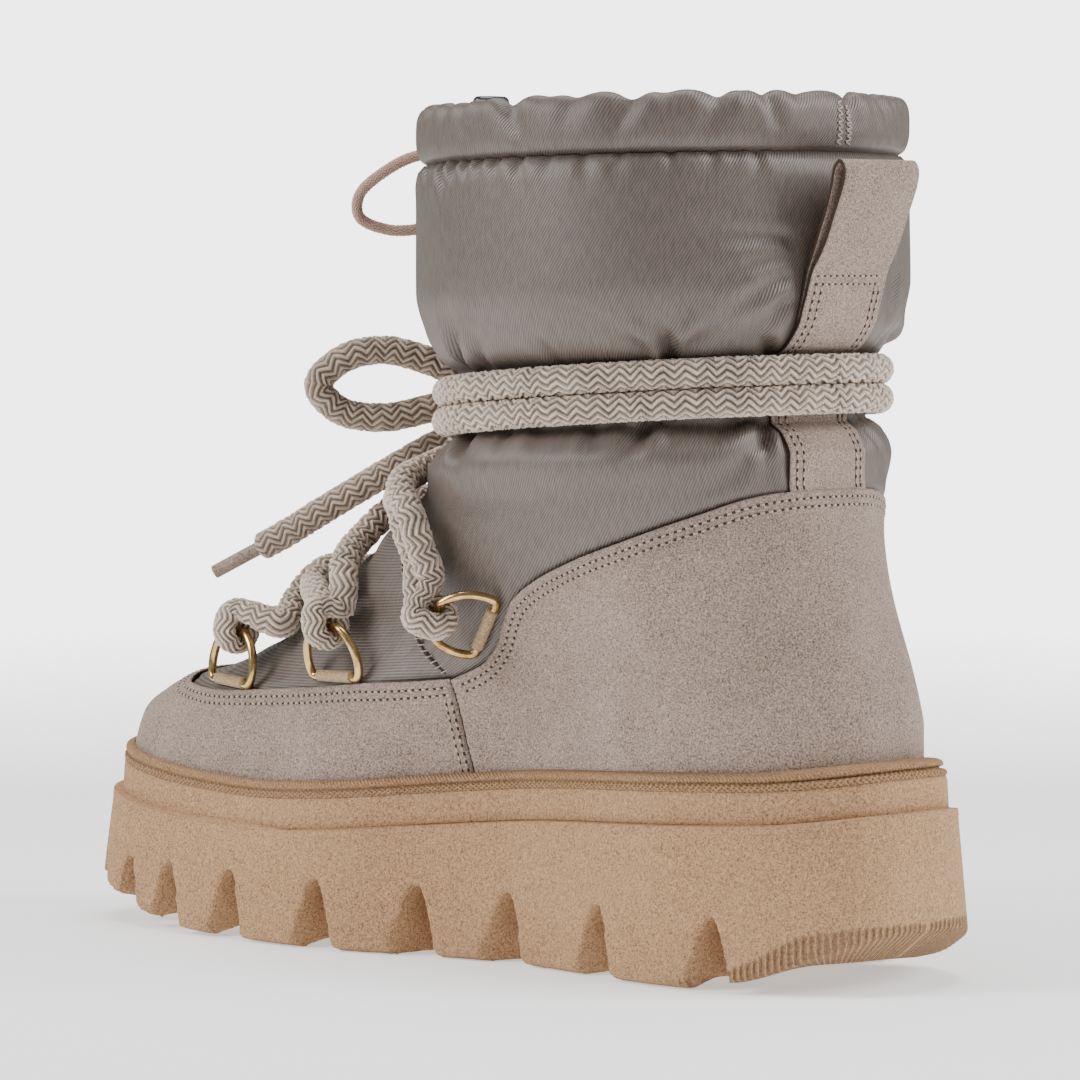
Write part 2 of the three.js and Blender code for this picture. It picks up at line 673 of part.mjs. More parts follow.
// Two turns of the lace round the shaft, lower at the front
const wrapPitch = 0.0235;
const wrapHeight = (angle) => 0.622 + 0.012 * Math.cos(angle);
const overStrap = (angle) => (strapThickness + 2 * gap) * (1 - smoothstep(Math.abs(Math.sin(angle / 2)), 0.18, 0.3));

function laceWrap(side) {
  const points = angles(around).map((angle) => {
    const clear = laceClear + overStrap(angle);
    return onUpper(angle, wrapHeight(angle) + side * wrapPitch, clear);
  });
  const path = new THREE.CatmullRomCurve3(points, true, 'catmullrom', 0.5);
  return new THREE.TubeGeometry(path, around, laceDiameter / 2, cordSides, true);
}

// Where the two turns meet behind the knot
function wrapLink() {
  const ends = [-1, 1].map((side) => onUpper(Math.PI, wrapHeight(Math.PI) + side * wrapPitch, laceClear));
  const extrudePath = new THREE.LineCurve3(...ends);
  return new THREE.ExtrudeGeometry(cordSection(laceDiameter * 0.6), { steps: 1, extrudePath });
}

function laceCrossings() {
  const barStart = toBack(laceHook(innerRings[0])).reverse();
  const parts = [
    ...laceSide(innerRings, outerRings, 1),
    ...laceSide(outerRings, innerRings, -1),
    laceRun(barStart, toBack(laceHook(outerRings[0])), 1, barPlaces, 0, 8),
    laceWrap(1),
    laceWrap(-1),
    wrapLink(),
  ];
  const lace = parts.map(solid).reduce((joined, part) => joined.add(part));
  return geometryOf(lace.asOriginal().setTolerance(laceFineness).simplify(laceFineness));
}

// Knot at the front of the shaft; loops and ends leave it as reach along a direction and height over the ground
const knotSize = { x: 6.4, y: 8, z: 7 };
const knotCentre = onUpper(Math.PI, wrapHeight(Math.PI), laceDiameter + knotSize.x + gap);
const bowParts = {
  innerLoop: { heading: [-0.66, -0.75], points: [
    [5, 8], [10, 10.2], [18, 13.4], [29, 15.8], [40, 13.4], [47, 6], [41, -1], [29, -3], [18, -1], [10, 1], [5, 0.3]] },
  outerLoop: { heading: [-0.5, 0.86], points: [
    [5, 8], [10, 9.6], [18, 10.8], [28, 10.8], [38, 7], [43, -0.6], [37, -7], [28, -7.4], [18, -3.6], [10, 0], [5, 0.3]] },
  innerEnd: { heading: [-0.88, -0.47], points: [
    [5, -7.6], [9, -8.6], [14, -10.4], [24, -15.6], [36, -22.4], [49, -30], [60, -36.6], [68, -40.8]] },
  outerEnd: { heading: [-0.7, 0.71], points: [
    [5, -7.6], [10, -8.6], [15, -10.4], [25, -16], [36, -25], [46, -36], [53, -47], [57, -56]] },
};

function bowPoints({ heading, points }) {
  return points.map(([reach, rise]) => {
    const place = new THREE.Vector3(heading[0] * reach, heading[1] * reach, rise);
    return place.add(knotCentre);
  });
}

function laceKnot(clear) {
  const geometry = new THREE.SphereGeometry(1, 12, 8);
  geometry.scale(knotSize.x + clear, knotSize.y + clear, knotSize.z + clear);
  return geometry.translate(knotCentre.x, knotCentre.y, knotCentre.z);
}

// Loop or end of the lace, fitted against the knot
function bowCord(part, steps) {
  const rope = solid(cord(bowPoints(part), laceDiameter, steps));
  return geometryOf(rope.subtract(solid(laceKnot(gap))));
}

function aglet(part) {
  const points = bowPoints(part);
  const tip = points.at(-1);
  const heading = tip.clone().sub(points.at(-2)).normalize();
  const start = tip.clone().addScaledVector(heading, gap);
  const end = start.clone().addScaledVector(heading, agletLength);
  const path = new THREE.LineCurve3(start, end);
  return new THREE.ExtrudeGeometry(cordSection(agletDiameter), { steps: 1, extrudePath: path });
}

// Cord lock in front of the casing, and the drawcord's loop below it
const lockSize = { x: 8, y: 12, z: 15 };
const lockBase = collarHeight + 3.8;
const lockCentre = onUpper(Math.PI, 1, lockSize.x / 2 + 1.2).setZ(lockBase + lockSize.z / 2).setY(2);
const drawcordRoute = [
  [-1, -3.6, -0.7], [-1.4, -4.4, -3], [-5, -9, -1.6], [-12, -17, -1.6], [-20, -22, -6], [-27, -25, -12.6],
  [-28, -24, -18.4], [-23, -18, -22], [-16, -11, -21.6], [-9, -4, -17.6], [-3, 2, -8], [-1, 3.6, -0.7],
];

function cordLock() {
  const shape = new THREE.Shape();
  shape.absellipse(0, 0, lockSize.x / 2, lockSize.y / 2, 0, 2 * Math.PI);
  const body = new THREE.ExtrudeGeometry(shape, {
    depth: lockSize.z - 2,
    curveSegments: 12,
    bevelEnabled: true,
    bevelThickness: 1,
    bevelSize: 1,
    bevelOffset: -1,
    bevelSegments: 1,
  });
  return body.translate(lockCentre.x, lockCentre.y, lockBase + 1);
}

function drawcordLoop() {
  const points = drawcordRoute.map(([x, y, z]) => new THREE.Vector3(lockCentre.x + x, lockCentre.y + y, lockBase + z));
  return cord(points, cordDiameter, 20);
}

const boot = new THREE.Group();

function place(name, geometry, finish) {
  const mesh = new THREE.Mesh(geometry, new THREE.MeshStandardMaterial(finish));
  mesh.name = name;
  boot.add(mesh);
}

place('outsole', outsole(), foam);
place('midsole', midsole(), foam);
place('welt', welt(), foam);
place('insole', insole(), lining);
place('upper', upper(), nylon);
place('toe_guard', toeGuard(), suede);
place('heel_counter', heelCounter(), suede);
place('collar_casing', collarCasing(), nylon);
place('pull_strap', pullStrap(), suede);
for (const [name, rings, side] of [['inner', innerRings, 1], ['outer', outerRings, -1]]) {
  place(`panel_seam_${name}`, frontSeam(side), nylon);
  rings.forEach((frame, i) => {
    place(`d_ring_${name}_${i + 1}`, dRing(frame), gold);
    place(`ring_tab_${name}_${i + 1}`, ringTab(frame), suede);
  });
  const loop = bowParts[`${name}Loop`];
  const end = bowParts[`${name}End`];
  place(`lace_loop_${name}`, bowCord(loop, 16), rope);
  place(`lace_end_${name}`, bowCord(end, 9), rope);
  place(`aglet_${name}`, aglet(end), rope);
}
place('lace_crossings', laceCrossings(), rope);
place('lace_knot', laceKnot(0), rope);
place('cord_lock', cordLock(), blackPlastic);
place('drawcord_loop', drawcordLoop(), thinCord);

export default boot;
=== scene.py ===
# Winter ankle boot, dressed over its CAD frame
import math

import bmesh
import bpy
import numpy as np
from mathutils import Matrix, Vector, kdtree

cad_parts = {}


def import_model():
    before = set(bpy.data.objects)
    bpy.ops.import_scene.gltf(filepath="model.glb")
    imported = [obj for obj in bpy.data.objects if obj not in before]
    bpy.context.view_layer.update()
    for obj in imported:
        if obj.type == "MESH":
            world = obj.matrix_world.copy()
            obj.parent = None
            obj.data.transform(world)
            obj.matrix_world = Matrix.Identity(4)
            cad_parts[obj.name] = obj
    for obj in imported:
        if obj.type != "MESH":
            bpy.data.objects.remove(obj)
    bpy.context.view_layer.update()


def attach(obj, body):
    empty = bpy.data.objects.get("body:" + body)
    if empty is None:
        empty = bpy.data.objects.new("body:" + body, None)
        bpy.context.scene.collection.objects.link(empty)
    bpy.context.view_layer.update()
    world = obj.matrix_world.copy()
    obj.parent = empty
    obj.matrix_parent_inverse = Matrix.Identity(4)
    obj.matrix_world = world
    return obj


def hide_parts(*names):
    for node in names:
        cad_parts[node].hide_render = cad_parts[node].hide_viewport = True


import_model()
mm = 0.001

# Camera
camera = {"azimuth": 44.475, "distance": 1468.62, "height": 190.57, "aimAt": 112.0, "sideways": 0.8, "lens": 177.27}


def setCamera():
    turn = math.radians(camera["azimuth"])
    back = Vector((math.sin(turn), -math.cos(turn), 0))
    right = Vector((math.cos(turn), math.sin(turn), 0))
    tilt = math.atan((camera["height"] - camera["aimAt"]) / camera["distance"])
    data = bpy.data.cameras.new("camera")
    data.lens = camera["lens"]
    data.sensor_width = 36
    data.clip_start = 0.05
    data.clip_end = 20
    view = bpy.data.objects.new("camera", data)
    view.location = (back * camera["distance"] + right * camera["sideways"] + Vector((0, 0, camera["height"]))) * mm
    view.rotation_euler = (math.pi / 2 - tilt, 0, turn)
    bpy.context.scene.collection.objects.link(view)
    bpy.context.scene.camera = view


setCamera()
print("camera set")

# Form of the boot, in millimetres
boot = {
    "soleLength": 278, "ballWidth": 103.2, "tipShift": 14.5, "planBlunt": 3, "upperInset": 7.6,
    "ledgeHeight": 47, "bandHeight": 8.5, "bandInset": 2.2,
    "collarHeight": 216, "collarTilt": 2, "shaftDepth": 128, "shaftWidth": 135, "shaftCentre": 47.3,
    "suede": 1.8, "gap": 0.3, "ringWire": 2.6,
}
halfSole = boot["soleLength"] / 2

solePlan = {
    "along": [0.00, 0.16, 0.40, 0.65, 0.86, 1.00],
    "inner": [0.868, 0.868, 0.714, 1.000, 0.993, 0.993],
    "outer": [0.868, 0.868, 0.770, 0.985, 0.900, 0.860],
}
soleSide = {
    "along": [0.00, 0.04, 0.10, 0.16, 0.35, 0.50, 0.62, 0.72, 0.81, 0.92, 1.00],
    "rim": [1.000, 0.965, 0.930, 0.915, 0.855, 0.775, 0.706, 0.676, 0.695, 0.755, 0.830],
    "rise": [0.170, 0.150, 0.060, 0.000, 0.000, 0.000, 0.000, 0.000, 0.015, 0.150, 0.270],
    "wall": [0.340, 0.230, 0.085, 0.030, 0.030, 0.030, 0.030, 0.030, 0.045, 0.180, 0.310],
    "bevel": [1.00, 0.90, 0.40, 0.15, 0.15, 0.15, 0.15, 0.15, 0.15, 0.20, 0.25],
}
footRows = {
    "height": [0.000, 0.080, 0.120, 0.155, 0.190, 0.235, 0.285, 0.340, 0.395, 0.440],
    "back": [0.970, 0.970, 0.962, 0.951, 0.937, 0.914, 0.888, 0.862, 0.840, 0.826],
    "front": [-1.015, -0.985, -0.932, -0.855, -0.752, -0.636, -0.535, -0.440, -0.340, -0.236],
    "width": [1.000, 1.000, 0.985, 0.975, 0.975, 0.990, 1.030, 1.100, 1.175, 1.250],
    "fore": [1.00, 0.98, 0.96, 0.95, 0.93, 0.91, 0.90, 0.90, 0.92, 0.95],
    "round": [0.00, 0.04, 0.10, 0.18, 0.28, 0.40, 0.55, 0.72, 0.86, 0.95],
}
shaftRows = {
    "height": [0.480, 0.520, 0.553, 0.574, 0.670, 0.692, 0.735, 0.800, 0.960, 1.000],
    "back": [0.930, 0.930, 0.890, 0.830, 0.830, 0.900, 0.970, 0.998, 0.998, 0.976],
    "front": [1.010, 0.965, 0.890, 0.825, 0.820, 0.880, 0.945, 0.975, 0.985, 0.970],
    "width": [0.870, 0.910, 0.860, 0.795, 0.795, 0.870, 0.940, 0.990, 0.992, 0.968],
}


def column(places, values):
    xs = np.array(places, float)
    ys = np.array(values, float)
    slopes = np.diff(ys) / np.diff(xs)
    tangents = np.zeros(len(xs))
    tangents[0], tangents[-1] = slopes[0], slopes[-1]
    for i in range(1, len(xs) - 1):
        product = slopes[i - 1] * slopes[i]
        tangents[i] = 2 * product / (slopes[i - 1] + slopes[i]) if product > 0 else 0

    def curve(x):
        x = np.asarray(x, float)
        i = np.clip(np.searchsorted(xs, x, side="left") - 1, 0, len(xs) - 2)
        width = xs[i + 1] - xs[i]
        t = np.clip((x - xs[i]) / width, 0, 1)
        start = (1 + 2 * t) * (1 - t) ** 2
        end = t * t * (3 - 2 * t)
        leave = t * (1 - t) ** 2 * width
        arrive = t * t * (t - 1) * width
        return start * ys[i] + end * ys[i + 1] + leave * tangents[i] + arrive * tangents[i + 1]

    return curve


planInner = column(solePlan["along"], solePlan["inner"])
planOuter = column(solePlan["along"], solePlan["outer"])
sideCurves = {name: column(soleSide["along"], soleSide[name]) for name in ("rim", "rise", "wall", "bevel")}


def alongOf(x):
    return np.clip((halfSole - x) / boot["soleLength"], 0, 1)


def swing(x):
    return -boot["tipShift"] * np.clip((alongOf(x) - 0.45) / 0.55, 0, 1) ** 2


def rim(x):
    return boot["ledgeHeight"] * sideCurves["rim"](alongOf(x))


def seat(x):
    return rim(x) + boot["bandHeight"] + boot["gap"]


def collarLine(x):
    lean = np.clip((x - boot["shaftCentre"]) / (boot["shaftDepth"] / 2), -1, 1)
    return boot["collarHeight"] + boot["collarTilt"] * lean


def blunt(along, power):
    return (1 - np.abs(1 - 2 * along) ** power).clip(0) ** (1 / power)


def smooth(value, low, high):
    t = np.clip((value - low) / (high - low), 0, 1)
    return t * t * (3 - 2 * t)


def planPoint(angle, inset):  # plan of the sole, angle from the back, inner side first
    along = (1 - np.cos(angle)) / 2
    inner = np.sin(angle) >= 0
    half = np.where(inner, planInner(along), planOuter(along)) * boot["ballWidth"] / 2 - inset
    x = (halfSole - inset) * (1 - 2 * along)
    return x, np.where(inner, -1, 1) * half * blunt(along, boot["planBlunt"]) + swing(x)


def upperCurve(name):
    length = halfSole - boot["upperInset"]
    width = boot["ballWidth"] / 2 - boot["upperInset"]
    depth, half, centre = boot["shaftDepth"] / 2, boot["shaftWidth"] / 2, boot["shaftCentre"]
    foot = {"back": length, "front": length, "width": width, "fore": 1, "round": 1}[name]
    low = [value * foot for value in footRows[name]]
    count = len(shaftRows["height"])
    high = {
        "back": [centre + value * depth for value in shaftRows["back"]],
        "front": [centre - value * depth for value in shaftRows["front"]],
        "width": [value * half for value in shaftRows["width"]],
        "fore": [1] * count,
        "round": [1] * count,
    }[name]
    return column(footRows["height"] + shaftRows["height"], low + high)


upperCurves = {name: upperCurve(name) for name in ("back", "front", "width", "fore", "round")}


def bareUpper(angle, height):  # points in millimetres, height 0 at the foot line and 1 at the collar seam
    along = (1 - np.cos(angle)) / 2
    inner = np.sin(angle) >= 0
    back, front = upperCurves["back"](height), upperCurves["front"](height)
    x = back + (front - back) * along
    footWidth = boot["ballWidth"] / 2 - boot["upperInset"]
    half = np.where(inner, planInner(along), planOuter(along)) * boot["ballWidth"] / 2
    plan = (half - boot["upperInset"]) / footWidth
    oval = upperCurves["round"](height)
    shape = plan * blunt(along, boot["planBlunt"]) * (1 - oval) + blunt(along, 2.08) * oval
    fore = 1 + (upperCurves["fore"](height) - 1) * smooth(along, 0.35, 0.8)
    half = upperCurves["width"](height) * shape * fore
    z = seat(x) * (1 - height) + collarLine(x) * height
    return np.stack([x, np.where(inner, -1, 1) * half + swing(x), z], -1)


def unit(vectors):
    return vectors / np.maximum(np.linalg.norm(vectors, axis=-1, keepdims=True), 1e-9)


def upperOut(angle, height):
    step = 0.004
    around = bareUpper(angle + step, height) - bareUpper(angle - step, height)
    up = bareUpper(angle, np.minimum(height + step, 1)) - bareUpper(angle, np.maximum(height - step, 0))
    return unit(np.cross(up, around))


def onUpper(angle, height, offset):
    angle, height = np.asarray(angle, float), np.asarray(height, float)
    return bareUpper(angle, height) + upperOut(angle, height) * np.asarray(offset, float)[..., None]


# Mesh helpers
weldReach = 2e-6


def addPiece(name, mesh, looks=(), replaced=(), stage=False):
    piece = bpy.data.objects.new(name, mesh)
    bpy.context.scene.collection.objects.link(piece)
    dress(mesh, looks)
    mesh.shade_smooth()
    if stage:
        return piece
    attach(piece, "root")
    if replaced:
        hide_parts(*replaced)
    return piece


def dress(mesh, looks):
    for look in looks:
        mesh.materials.append(finishes[look])


def finishMesh(name, bm):
    mesh = bpy.data.meshes.new(name)
    bm.to_mesh(mesh)
    bm.free()
    return mesh


def edited(mesh, edit):
    bm = bmesh.new()
    bm.from_mesh(mesh)
    edit(bm)
    bm.to_mesh(mesh)
    bm.free()


def readRows(items, what):  # three numbers of every vertex or face
    flat = np.zeros(len(items) * 3)
    items.foreach_get(what, flat)
    return flat.reshape(-1, 3)


def addValues(mesh, values):
    for label, value in values.items():
        mesh.attributes.new(label, "FLOAT", "POINT").data.foreach_set("value", value)


def gridMesh(name, across, along, place, values=None, weld=True):  # a sheet that place lays out, with its map
    bm = bmesh.new()
    bmesh.ops.create_grid(bm, x_segments=across, y_segments=along, size=0.5)
    mesh = finishMesh(name, bm)
    flat = readRows(mesh.vertices, "co")
    s, t = flat[:, 0] + 0.5, flat[:, 1] + 0.5
    points, cloth = place(s, t)
    corners = np.zeros(len(mesh.loops), int)
    mesh.loops.foreach_get("vertex_index", corners)
    layer = mesh.uv_layers.new(name="cloth")
    layer.data.foreach_set("uv", cloth[corners].ravel())
    if values:
        addValues(mesh, values(s, t))
    mesh.vertices.foreach_set("co", (points * mm).ravel())
    if weld:
        edited(mesh, lambda bm: bmesh.ops.remove_doubles(bm, verts=bm.verts, dist=weldReach))
    edited(mesh, lambda bm: bmesh.ops.recalc_face_normals(bm, faces=bm.faces))
    return mesh


def pathLengths(points):
    return np.concatenate([[0], np.cumsum(np.linalg.norm(np.diff(points, axis=0), axis=1))])


def catmull(points, closed=False, per=24):  # centripetal curve through points
    points = np.asarray(points, float)
    if closed:
        points = np.vstack([points[-1], points, points[:2]])
    else:
        points = np.vstack([2 * points[0] - points[1], points, 2 * points[-1] - points[-2]])
    line = []
    for i in range(1, len(points) - 2):
        a, b, c, d = points[i - 1:i + 3]
        ta = 0
        tb = ta + np.linalg.norm(b - a) ** 0.5
        tc = tb + np.linalg.norm(c - b) ** 0.5
        td = tc + np.linalg.norm(d - c) ** 0.5
        t = np.linspace(tb, tc, per, endpoint=False)[:, None]
        ab = (tb - t) / (tb - ta) * a + (t - ta) / (tb - ta) * b
        bc = (tc - t) / (tc - tb) * b + (t - tb) / (tc - tb) * c
        cd = (td - t) / (td - tc) * c + (t - tc) / (td - tc) * d
        abc = (tc - t) / (tc - ta) * ab + (t - ta) / (tc - ta) * bc
        bcd = (td - t) / (td - tb) * bc + (t - tb) / (td - tb) * cd
        line.append((tc - t) / (tc - tb) * abc + (t - tb) / (tc - tb) * bcd)
    if not closed:
        line.append(points[-2][None])
    return np.vstack(line)


def evenly(points, step):
    lengths = pathLengths(points)
    count = max(int(round(lengths[-1] / step)), 4)
    places = np.linspace(0, lengths[-1], count + 1)
    return np.stack([np.interp(places, lengths, points[:, k]) for k in range(3)], -1), places


def frames(points, closed=False):  # tangents and turning-free sides along a line
    tangents = unit(np.gradient(points, axis=0))
    if closed:
        tangents[0] = tangents[-1] = unit(points[1] - points[-2])
    side = np.cross(tangents[0], [0, 0, 1] if abs(tangents[0][2]) < 0.9 else [1, 0, 0])
    sides = [unit(side)]
    for i in range(1, len(points)):
        side = sides[-1] - tangents[i] * np.dot(sides[-1], tangents[i])
        sides.append(unit(side))
    sides = np.array(sides)
    if closed:  # spreads the leftover twist
        last, first = sides[-1], sides[0]
        twist = math.atan2(np.dot(np.cross(last, first), tangents[0]), np.dot(last, first))
        turns = np.linspace(0, twist, len(points))[:, None]
        sides = sides * np.cos(turns) + np.cross(tangents, sides) * np.sin(turns)
    return tangents, sides, np.cross(tangents, sides)


# Shader helpers
class Sock:  # a socket that sums and products can be written with
    def __init__(self, tree, socket):
        self.tree, self.socket = tree, socket

    def math(self, operation, *others, clamp=False):
        node = self.tree.nodes.new("ShaderNodeMath")
        node.operation, node.use_clamp = operation, clamp
        for place, value in enumerate((self,) + others):
            plug(self.tree, node.inputs[place], value)
        return Sock(self.tree, node.outputs[0])

    def __add__(self, other):
        return self.math("ADD", other)

    def __sub__(self, other):
        return self.math("SUBTRACT", other)

    def __rsub__(self, other):
        return self * -1 + other

    def __mul__(self, other):
        return self.math("MULTIPLY", other)

    __radd__, __rmul__ = __add__, __mul__

    def sine(self):
        return self.math("SINE")

    def between(self, low, high):  # 0 below low, 1 above high
        return ((self - low) * (1 / (high - low))).math("MULTIPLY", 1, clamp=True)


def plug(tree, place, value):
    if isinstance(value, Sock):
        tree.links.new(value.socket, place)
    else:
        place.default_value = value


class Finish:  # a material under way
    def __init__(self, name):
        self.material = bpy.data.materials.new(name)
        self.material.use_nodes = True
        self.tree = self.material.node_tree
        self.shader = self.tree.nodes["Principled BSDF"]

    def node(self, kind, output=0, settings=None, **inputs):
        node = self.tree.nodes.new(kind)
        for name, value in (settings or {}).items():
            setattr(node, name, value)
        for name, value in inputs.items():
            plug(self.tree, node.inputs[name.replace("_", " ")], value)
        return Sock(self.tree, node.outputs[output])

    def place(self):
        return self.node("ShaderNodeTexCoord", 3)

    def cloth(self):  # the piece's own map, in millimetres
        uv = self.node("ShaderNodeUVMap", 0, {"uv_map": "cloth"})
        split = self.tree.nodes.new("ShaderNodeSeparateXYZ")
        plug(self.tree, split.inputs[0], uv)
        return uv, Sock(self.tree, split.outputs[0]), Sock(self.tree, split.outputs[1])

    def value(self, name):
        return self.node("ShaderNodeAttribute", 2, {"attribute_name": name})

    def noise(self, where, scale, detail=2.0, roughness=0.5):
        return self.node("ShaderNodeTexNoise", 0, None, Vector=where, Scale=scale, Detail=detail, Roughness=roughness)

    def scaled(self, where, factors):
        node = self.tree.nodes.new("ShaderNodeVectorMath")
        node.operation = "MULTIPLY"
        plug(self.tree, node.inputs[0], where)
        node.inputs[1].default_value = factors
        return Sock(self.tree, node.outputs[0])

    def blend(self, share, first, second):
        node = self.tree.nodes.new("ShaderNodeMix")
        node.data_type = "RGBA"
        plug(self.tree, node.inputs[0], share)
        plug(self.tree, node.inputs[6], first)
        plug(self.tree, node.inputs[7], second)
        return Sock(self.tree, node.outputs[2])

    def relief(self, height, depth, strength=1.0, below=None):
        node = self.tree.nodes.new("ShaderNodeBump")
        node.inputs["Strength"].default_value = strength
        node.inputs["Distance"].default_value = depth * mm
        plug(self.tree, node.inputs["Height"], height)
        if below:
            plug(self.tree, node.inputs["Normal"], below)
        return Sock(self.tree, node.outputs[0])

    def finish(self, color, roughness, normal=None, **constants):
        plug(self.tree, self.shader.inputs["Base Color"], color)
        plug(self.tree, self.shader.inputs["Roughness"], roughness)
        if normal:
            plug(self.tree, self.shader.inputs["Normal"], normal)
        for name, value in constants.items():
            self.shader.inputs[name.replace("_", " ")].default_value = value
        return self.material


def paint(red, green, blue):  # a colour as the screen shows it
    def linear(value):
        value /= 255
        return value / 12.92 if value <= 0.04045 else ((value + 0.055) / 1.055) ** 2.4
    return (linear(red), linear(green), linear(blue), 1)


print("helpers ready")

# Finishes; the rope's rows of zig-zag are also in its mesh
rope = {"rows": 11, "band": 2.7, "slant": 1.1, "raise": 1.0, "step": 0.62, "around": 44, "uneven": 0.13}
ropeThick, cordThick, cordScale = 7.4, 3.0, 0.42
palette = {
    "nylon": paint(122, 108, 97), "nylonDark": paint(38, 31, 26),
    "suede": paint(204, 180, 164), "suedeDark": paint(76, 60, 50),
    "foam": paint(196, 158, 120), "foamDarkAndTroughShade": paint(118, 86, 58),
    "rope": paint(246, 226, 206), "bow": paint(224, 204, 184), "ropeDarkAndGapShade": paint(92, 76, 63),
    "cord": paint(230, 194, 174), "cordDarkAndGapShade": paint(140, 106, 90),
    "gold": paint(226, 196, 140), "goldDark": paint(176, 140, 84),
    "lining": paint(192, 176, 162), "liningDark": paint(132, 116, 104),
    "thread": paint(198, 182, 166), "rawEdgeAndHoleShade": paint(62, 52, 45),
    "tape": paint(188, 160, 120), "tapeDark": paint(128, 100, 66),
}


def waves(along, pitch):
    return (along * (2 * math.pi / pitch)).sine()


def nylonFinish():
    make = Finish("nylon")
    uv, u, v = make.cloth()
    front = make.value("front")
    twill = waves(u * 0.862 + v * 0.507, 0.7) * 0.5 + 0.5  # steep lines on the side panels
    ribs = waves(v, 0.8) * 0.5 + 0.5  # level ribs on the front panel
    lines = twill * (1 - front) + ribs * front
    slub = make.noise(make.scaled(uv, (1.3, 0.25, 1)), 1, 2, 0.6)
    patches = make.noise(make.place(), 38, 3)
    shade = (lines * 0.55 + slub * 0.7 + patches * 0.2).between(0.2, 1.15)
    color = make.blend(shade, palette["nylonDark"], palette["nylon"])
    roughness = 0.52 - lines * 0.1
    normal = make.relief(lines + slub * 0.5, 0.1, 0.75)
    return make.finish(color, roughness, normal, Sheen_Weight=0.05, Sheen_Roughness=0.4, Specular_IOR_Level=0.8)


def suedeFinish():
    make = Finish("suede")
    where = make.place()
    nap = make.noise(where, 2000, 3, 0.75)
    fine = make.noise(where, 4200, 2, 0.6)
    blots = make.noise(where, 60, 3, 0.6)
    shade = (nap * 3.0 + fine * 1.6 + blots * 0.4).between(1.9, 3.1)
    color = make.blend(shade, palette["suedeDark"], palette["suede"])
    normal = make.relief(nap + fine * 0.5, 0.42, 0.9)
    constants = {"Sheen_Weight": 0.15, "Sheen_Roughness": 0.6, "Specular_IOR_Level": 0.15}
    return make.finish(color, 0.94 - nap * 0.1, normal, **constants)


def foamGround(make):  # colour and bump of the speckled foam
    where = make.place()
    grain = make.noise(where, 1300, 2, 0.6)
    speck = make.noise(where, 2600, 1, 0.5)
    patches = make.noise(where, 24, 3)
    shade = (grain * 1.6 + speck * 1.3 + patches * 0.4).between(1.0, 2.1)
    color = make.blend(shade, palette["foamDarkAndTroughShade"], palette["foam"])
    return color, make.relief(grain + speck * 0.6, 0.12, 0.6)


def foamFinish():
    make = Finish("foam")
    color, normal = foamGround(make)
    return make.finish(color, 0.86, normal, Specular_IOR_Level=0.25)


def weltFinish():
    make = Finish("welt foam")
    color, normal = foamGround(make)
    u, v = make.cloth()[1:]
    beads = make.value("beads")
    left, right = waves(u + v * 1.1, 1.7), waves(u - v * 1.1, 1.7)
    ribs = left.math("MAXIMUM", right) * beads + waves(u + v * 0.6, 1.1) * (1 - beads) * 0.4
    normal = make.relief(ribs, 0.3, 1.0, normal)
    # painted shade: the foam is darkened towards its dark tone in the troughs between the ribs
    color = make.blend(ribs.between(-0.9, 0.5) * 0.7 + 0.3, palette["foamDarkAndTroughShade"], color)
    return make.finish(color, 0.86, normal, Specular_IOR_Level=0.25)


def outsoleFinish():
    make = Finish("outsole foam")
    color, normal = foamGround(make)
    ribs = waves(make.value("turn"), 1.8) * make.value("bevel")
    normal = make.relief(ribs, 0.6, 1.0, normal)
    # painted shade: the foam is darkened in the troughs of the ribs and teeth on the bevel
    color = make.blend((ribs * -1).between(0.2, 1.3), color, palette["foamDarkAndTroughShade"])
    return make.finish(color, 0.86, normal, Specular_IOR_Level=0.25)


def ropeFinish(name, light, dark, diameter, scale=1.0):
    make = Finish(name)
    uv, s, turn = make.cloth()
    zigzag = (s * (0.5 / (rope["band"] * scale))).math("PINGPONG", 0.5) * 2
    uneven = (s * (0.9 / scale) + (s * (0.23 / scale)).sine() * 3).sine() * rope["uneven"]
    phase = turn * (rope["rows"] / (math.pi * diameter)) + zigzag * rope["slant"] + uneven
    raised = (phase * (2 * math.pi)).math("COSINE") * -0.5 + 0.5
    hairs = make.noise(make.place(), 1900, 3, 0.7)
    ply = make.noise(make.scaled(uv, (0.7 / scale, 5 / scale, 1)), 1, 2)
    tone = make.noise(make.place(), 170, 2)
    # painted shade: the colour goes to the dark tone in the gaps between strands, where raised is low; hairs, ply and
    # tone add the yarn's own uneven tone
    shade = (raised * 0.95 + hairs * 0.7 + ply * 0.35 + tone * 0.5).between(0.62, 1.95)
    color = make.blend(shade, dark, light)
    normal = make.relief(raised * 1.6 + hairs * 0.9 + ply * 0.6, 0.24 * scale, 0.85)
    return make.finish(color, 0.86, normal, Sheen_Weight=0.2, Sheen_Roughness=0.5, Specular_IOR_Level=0.22)


# A finish whose colour, roughness and relief come from one noise
def plainFinish(name, grain, reach, colors, roughness, bump, stretch=None, **constants):
    make = Finish(name)
    where = make.scaled(make.place(), stretch) if stretch else make.place()
    noise = make.noise(where, *grain)
    color = make.blend(noise.between(*reach), *colors)
    low, more = roughness
    return make.finish(color, noise * more + low if more else low, make.relief(noise, *bump), **constants)


def tones(dark, light):
    return palette[dark], palette[light]


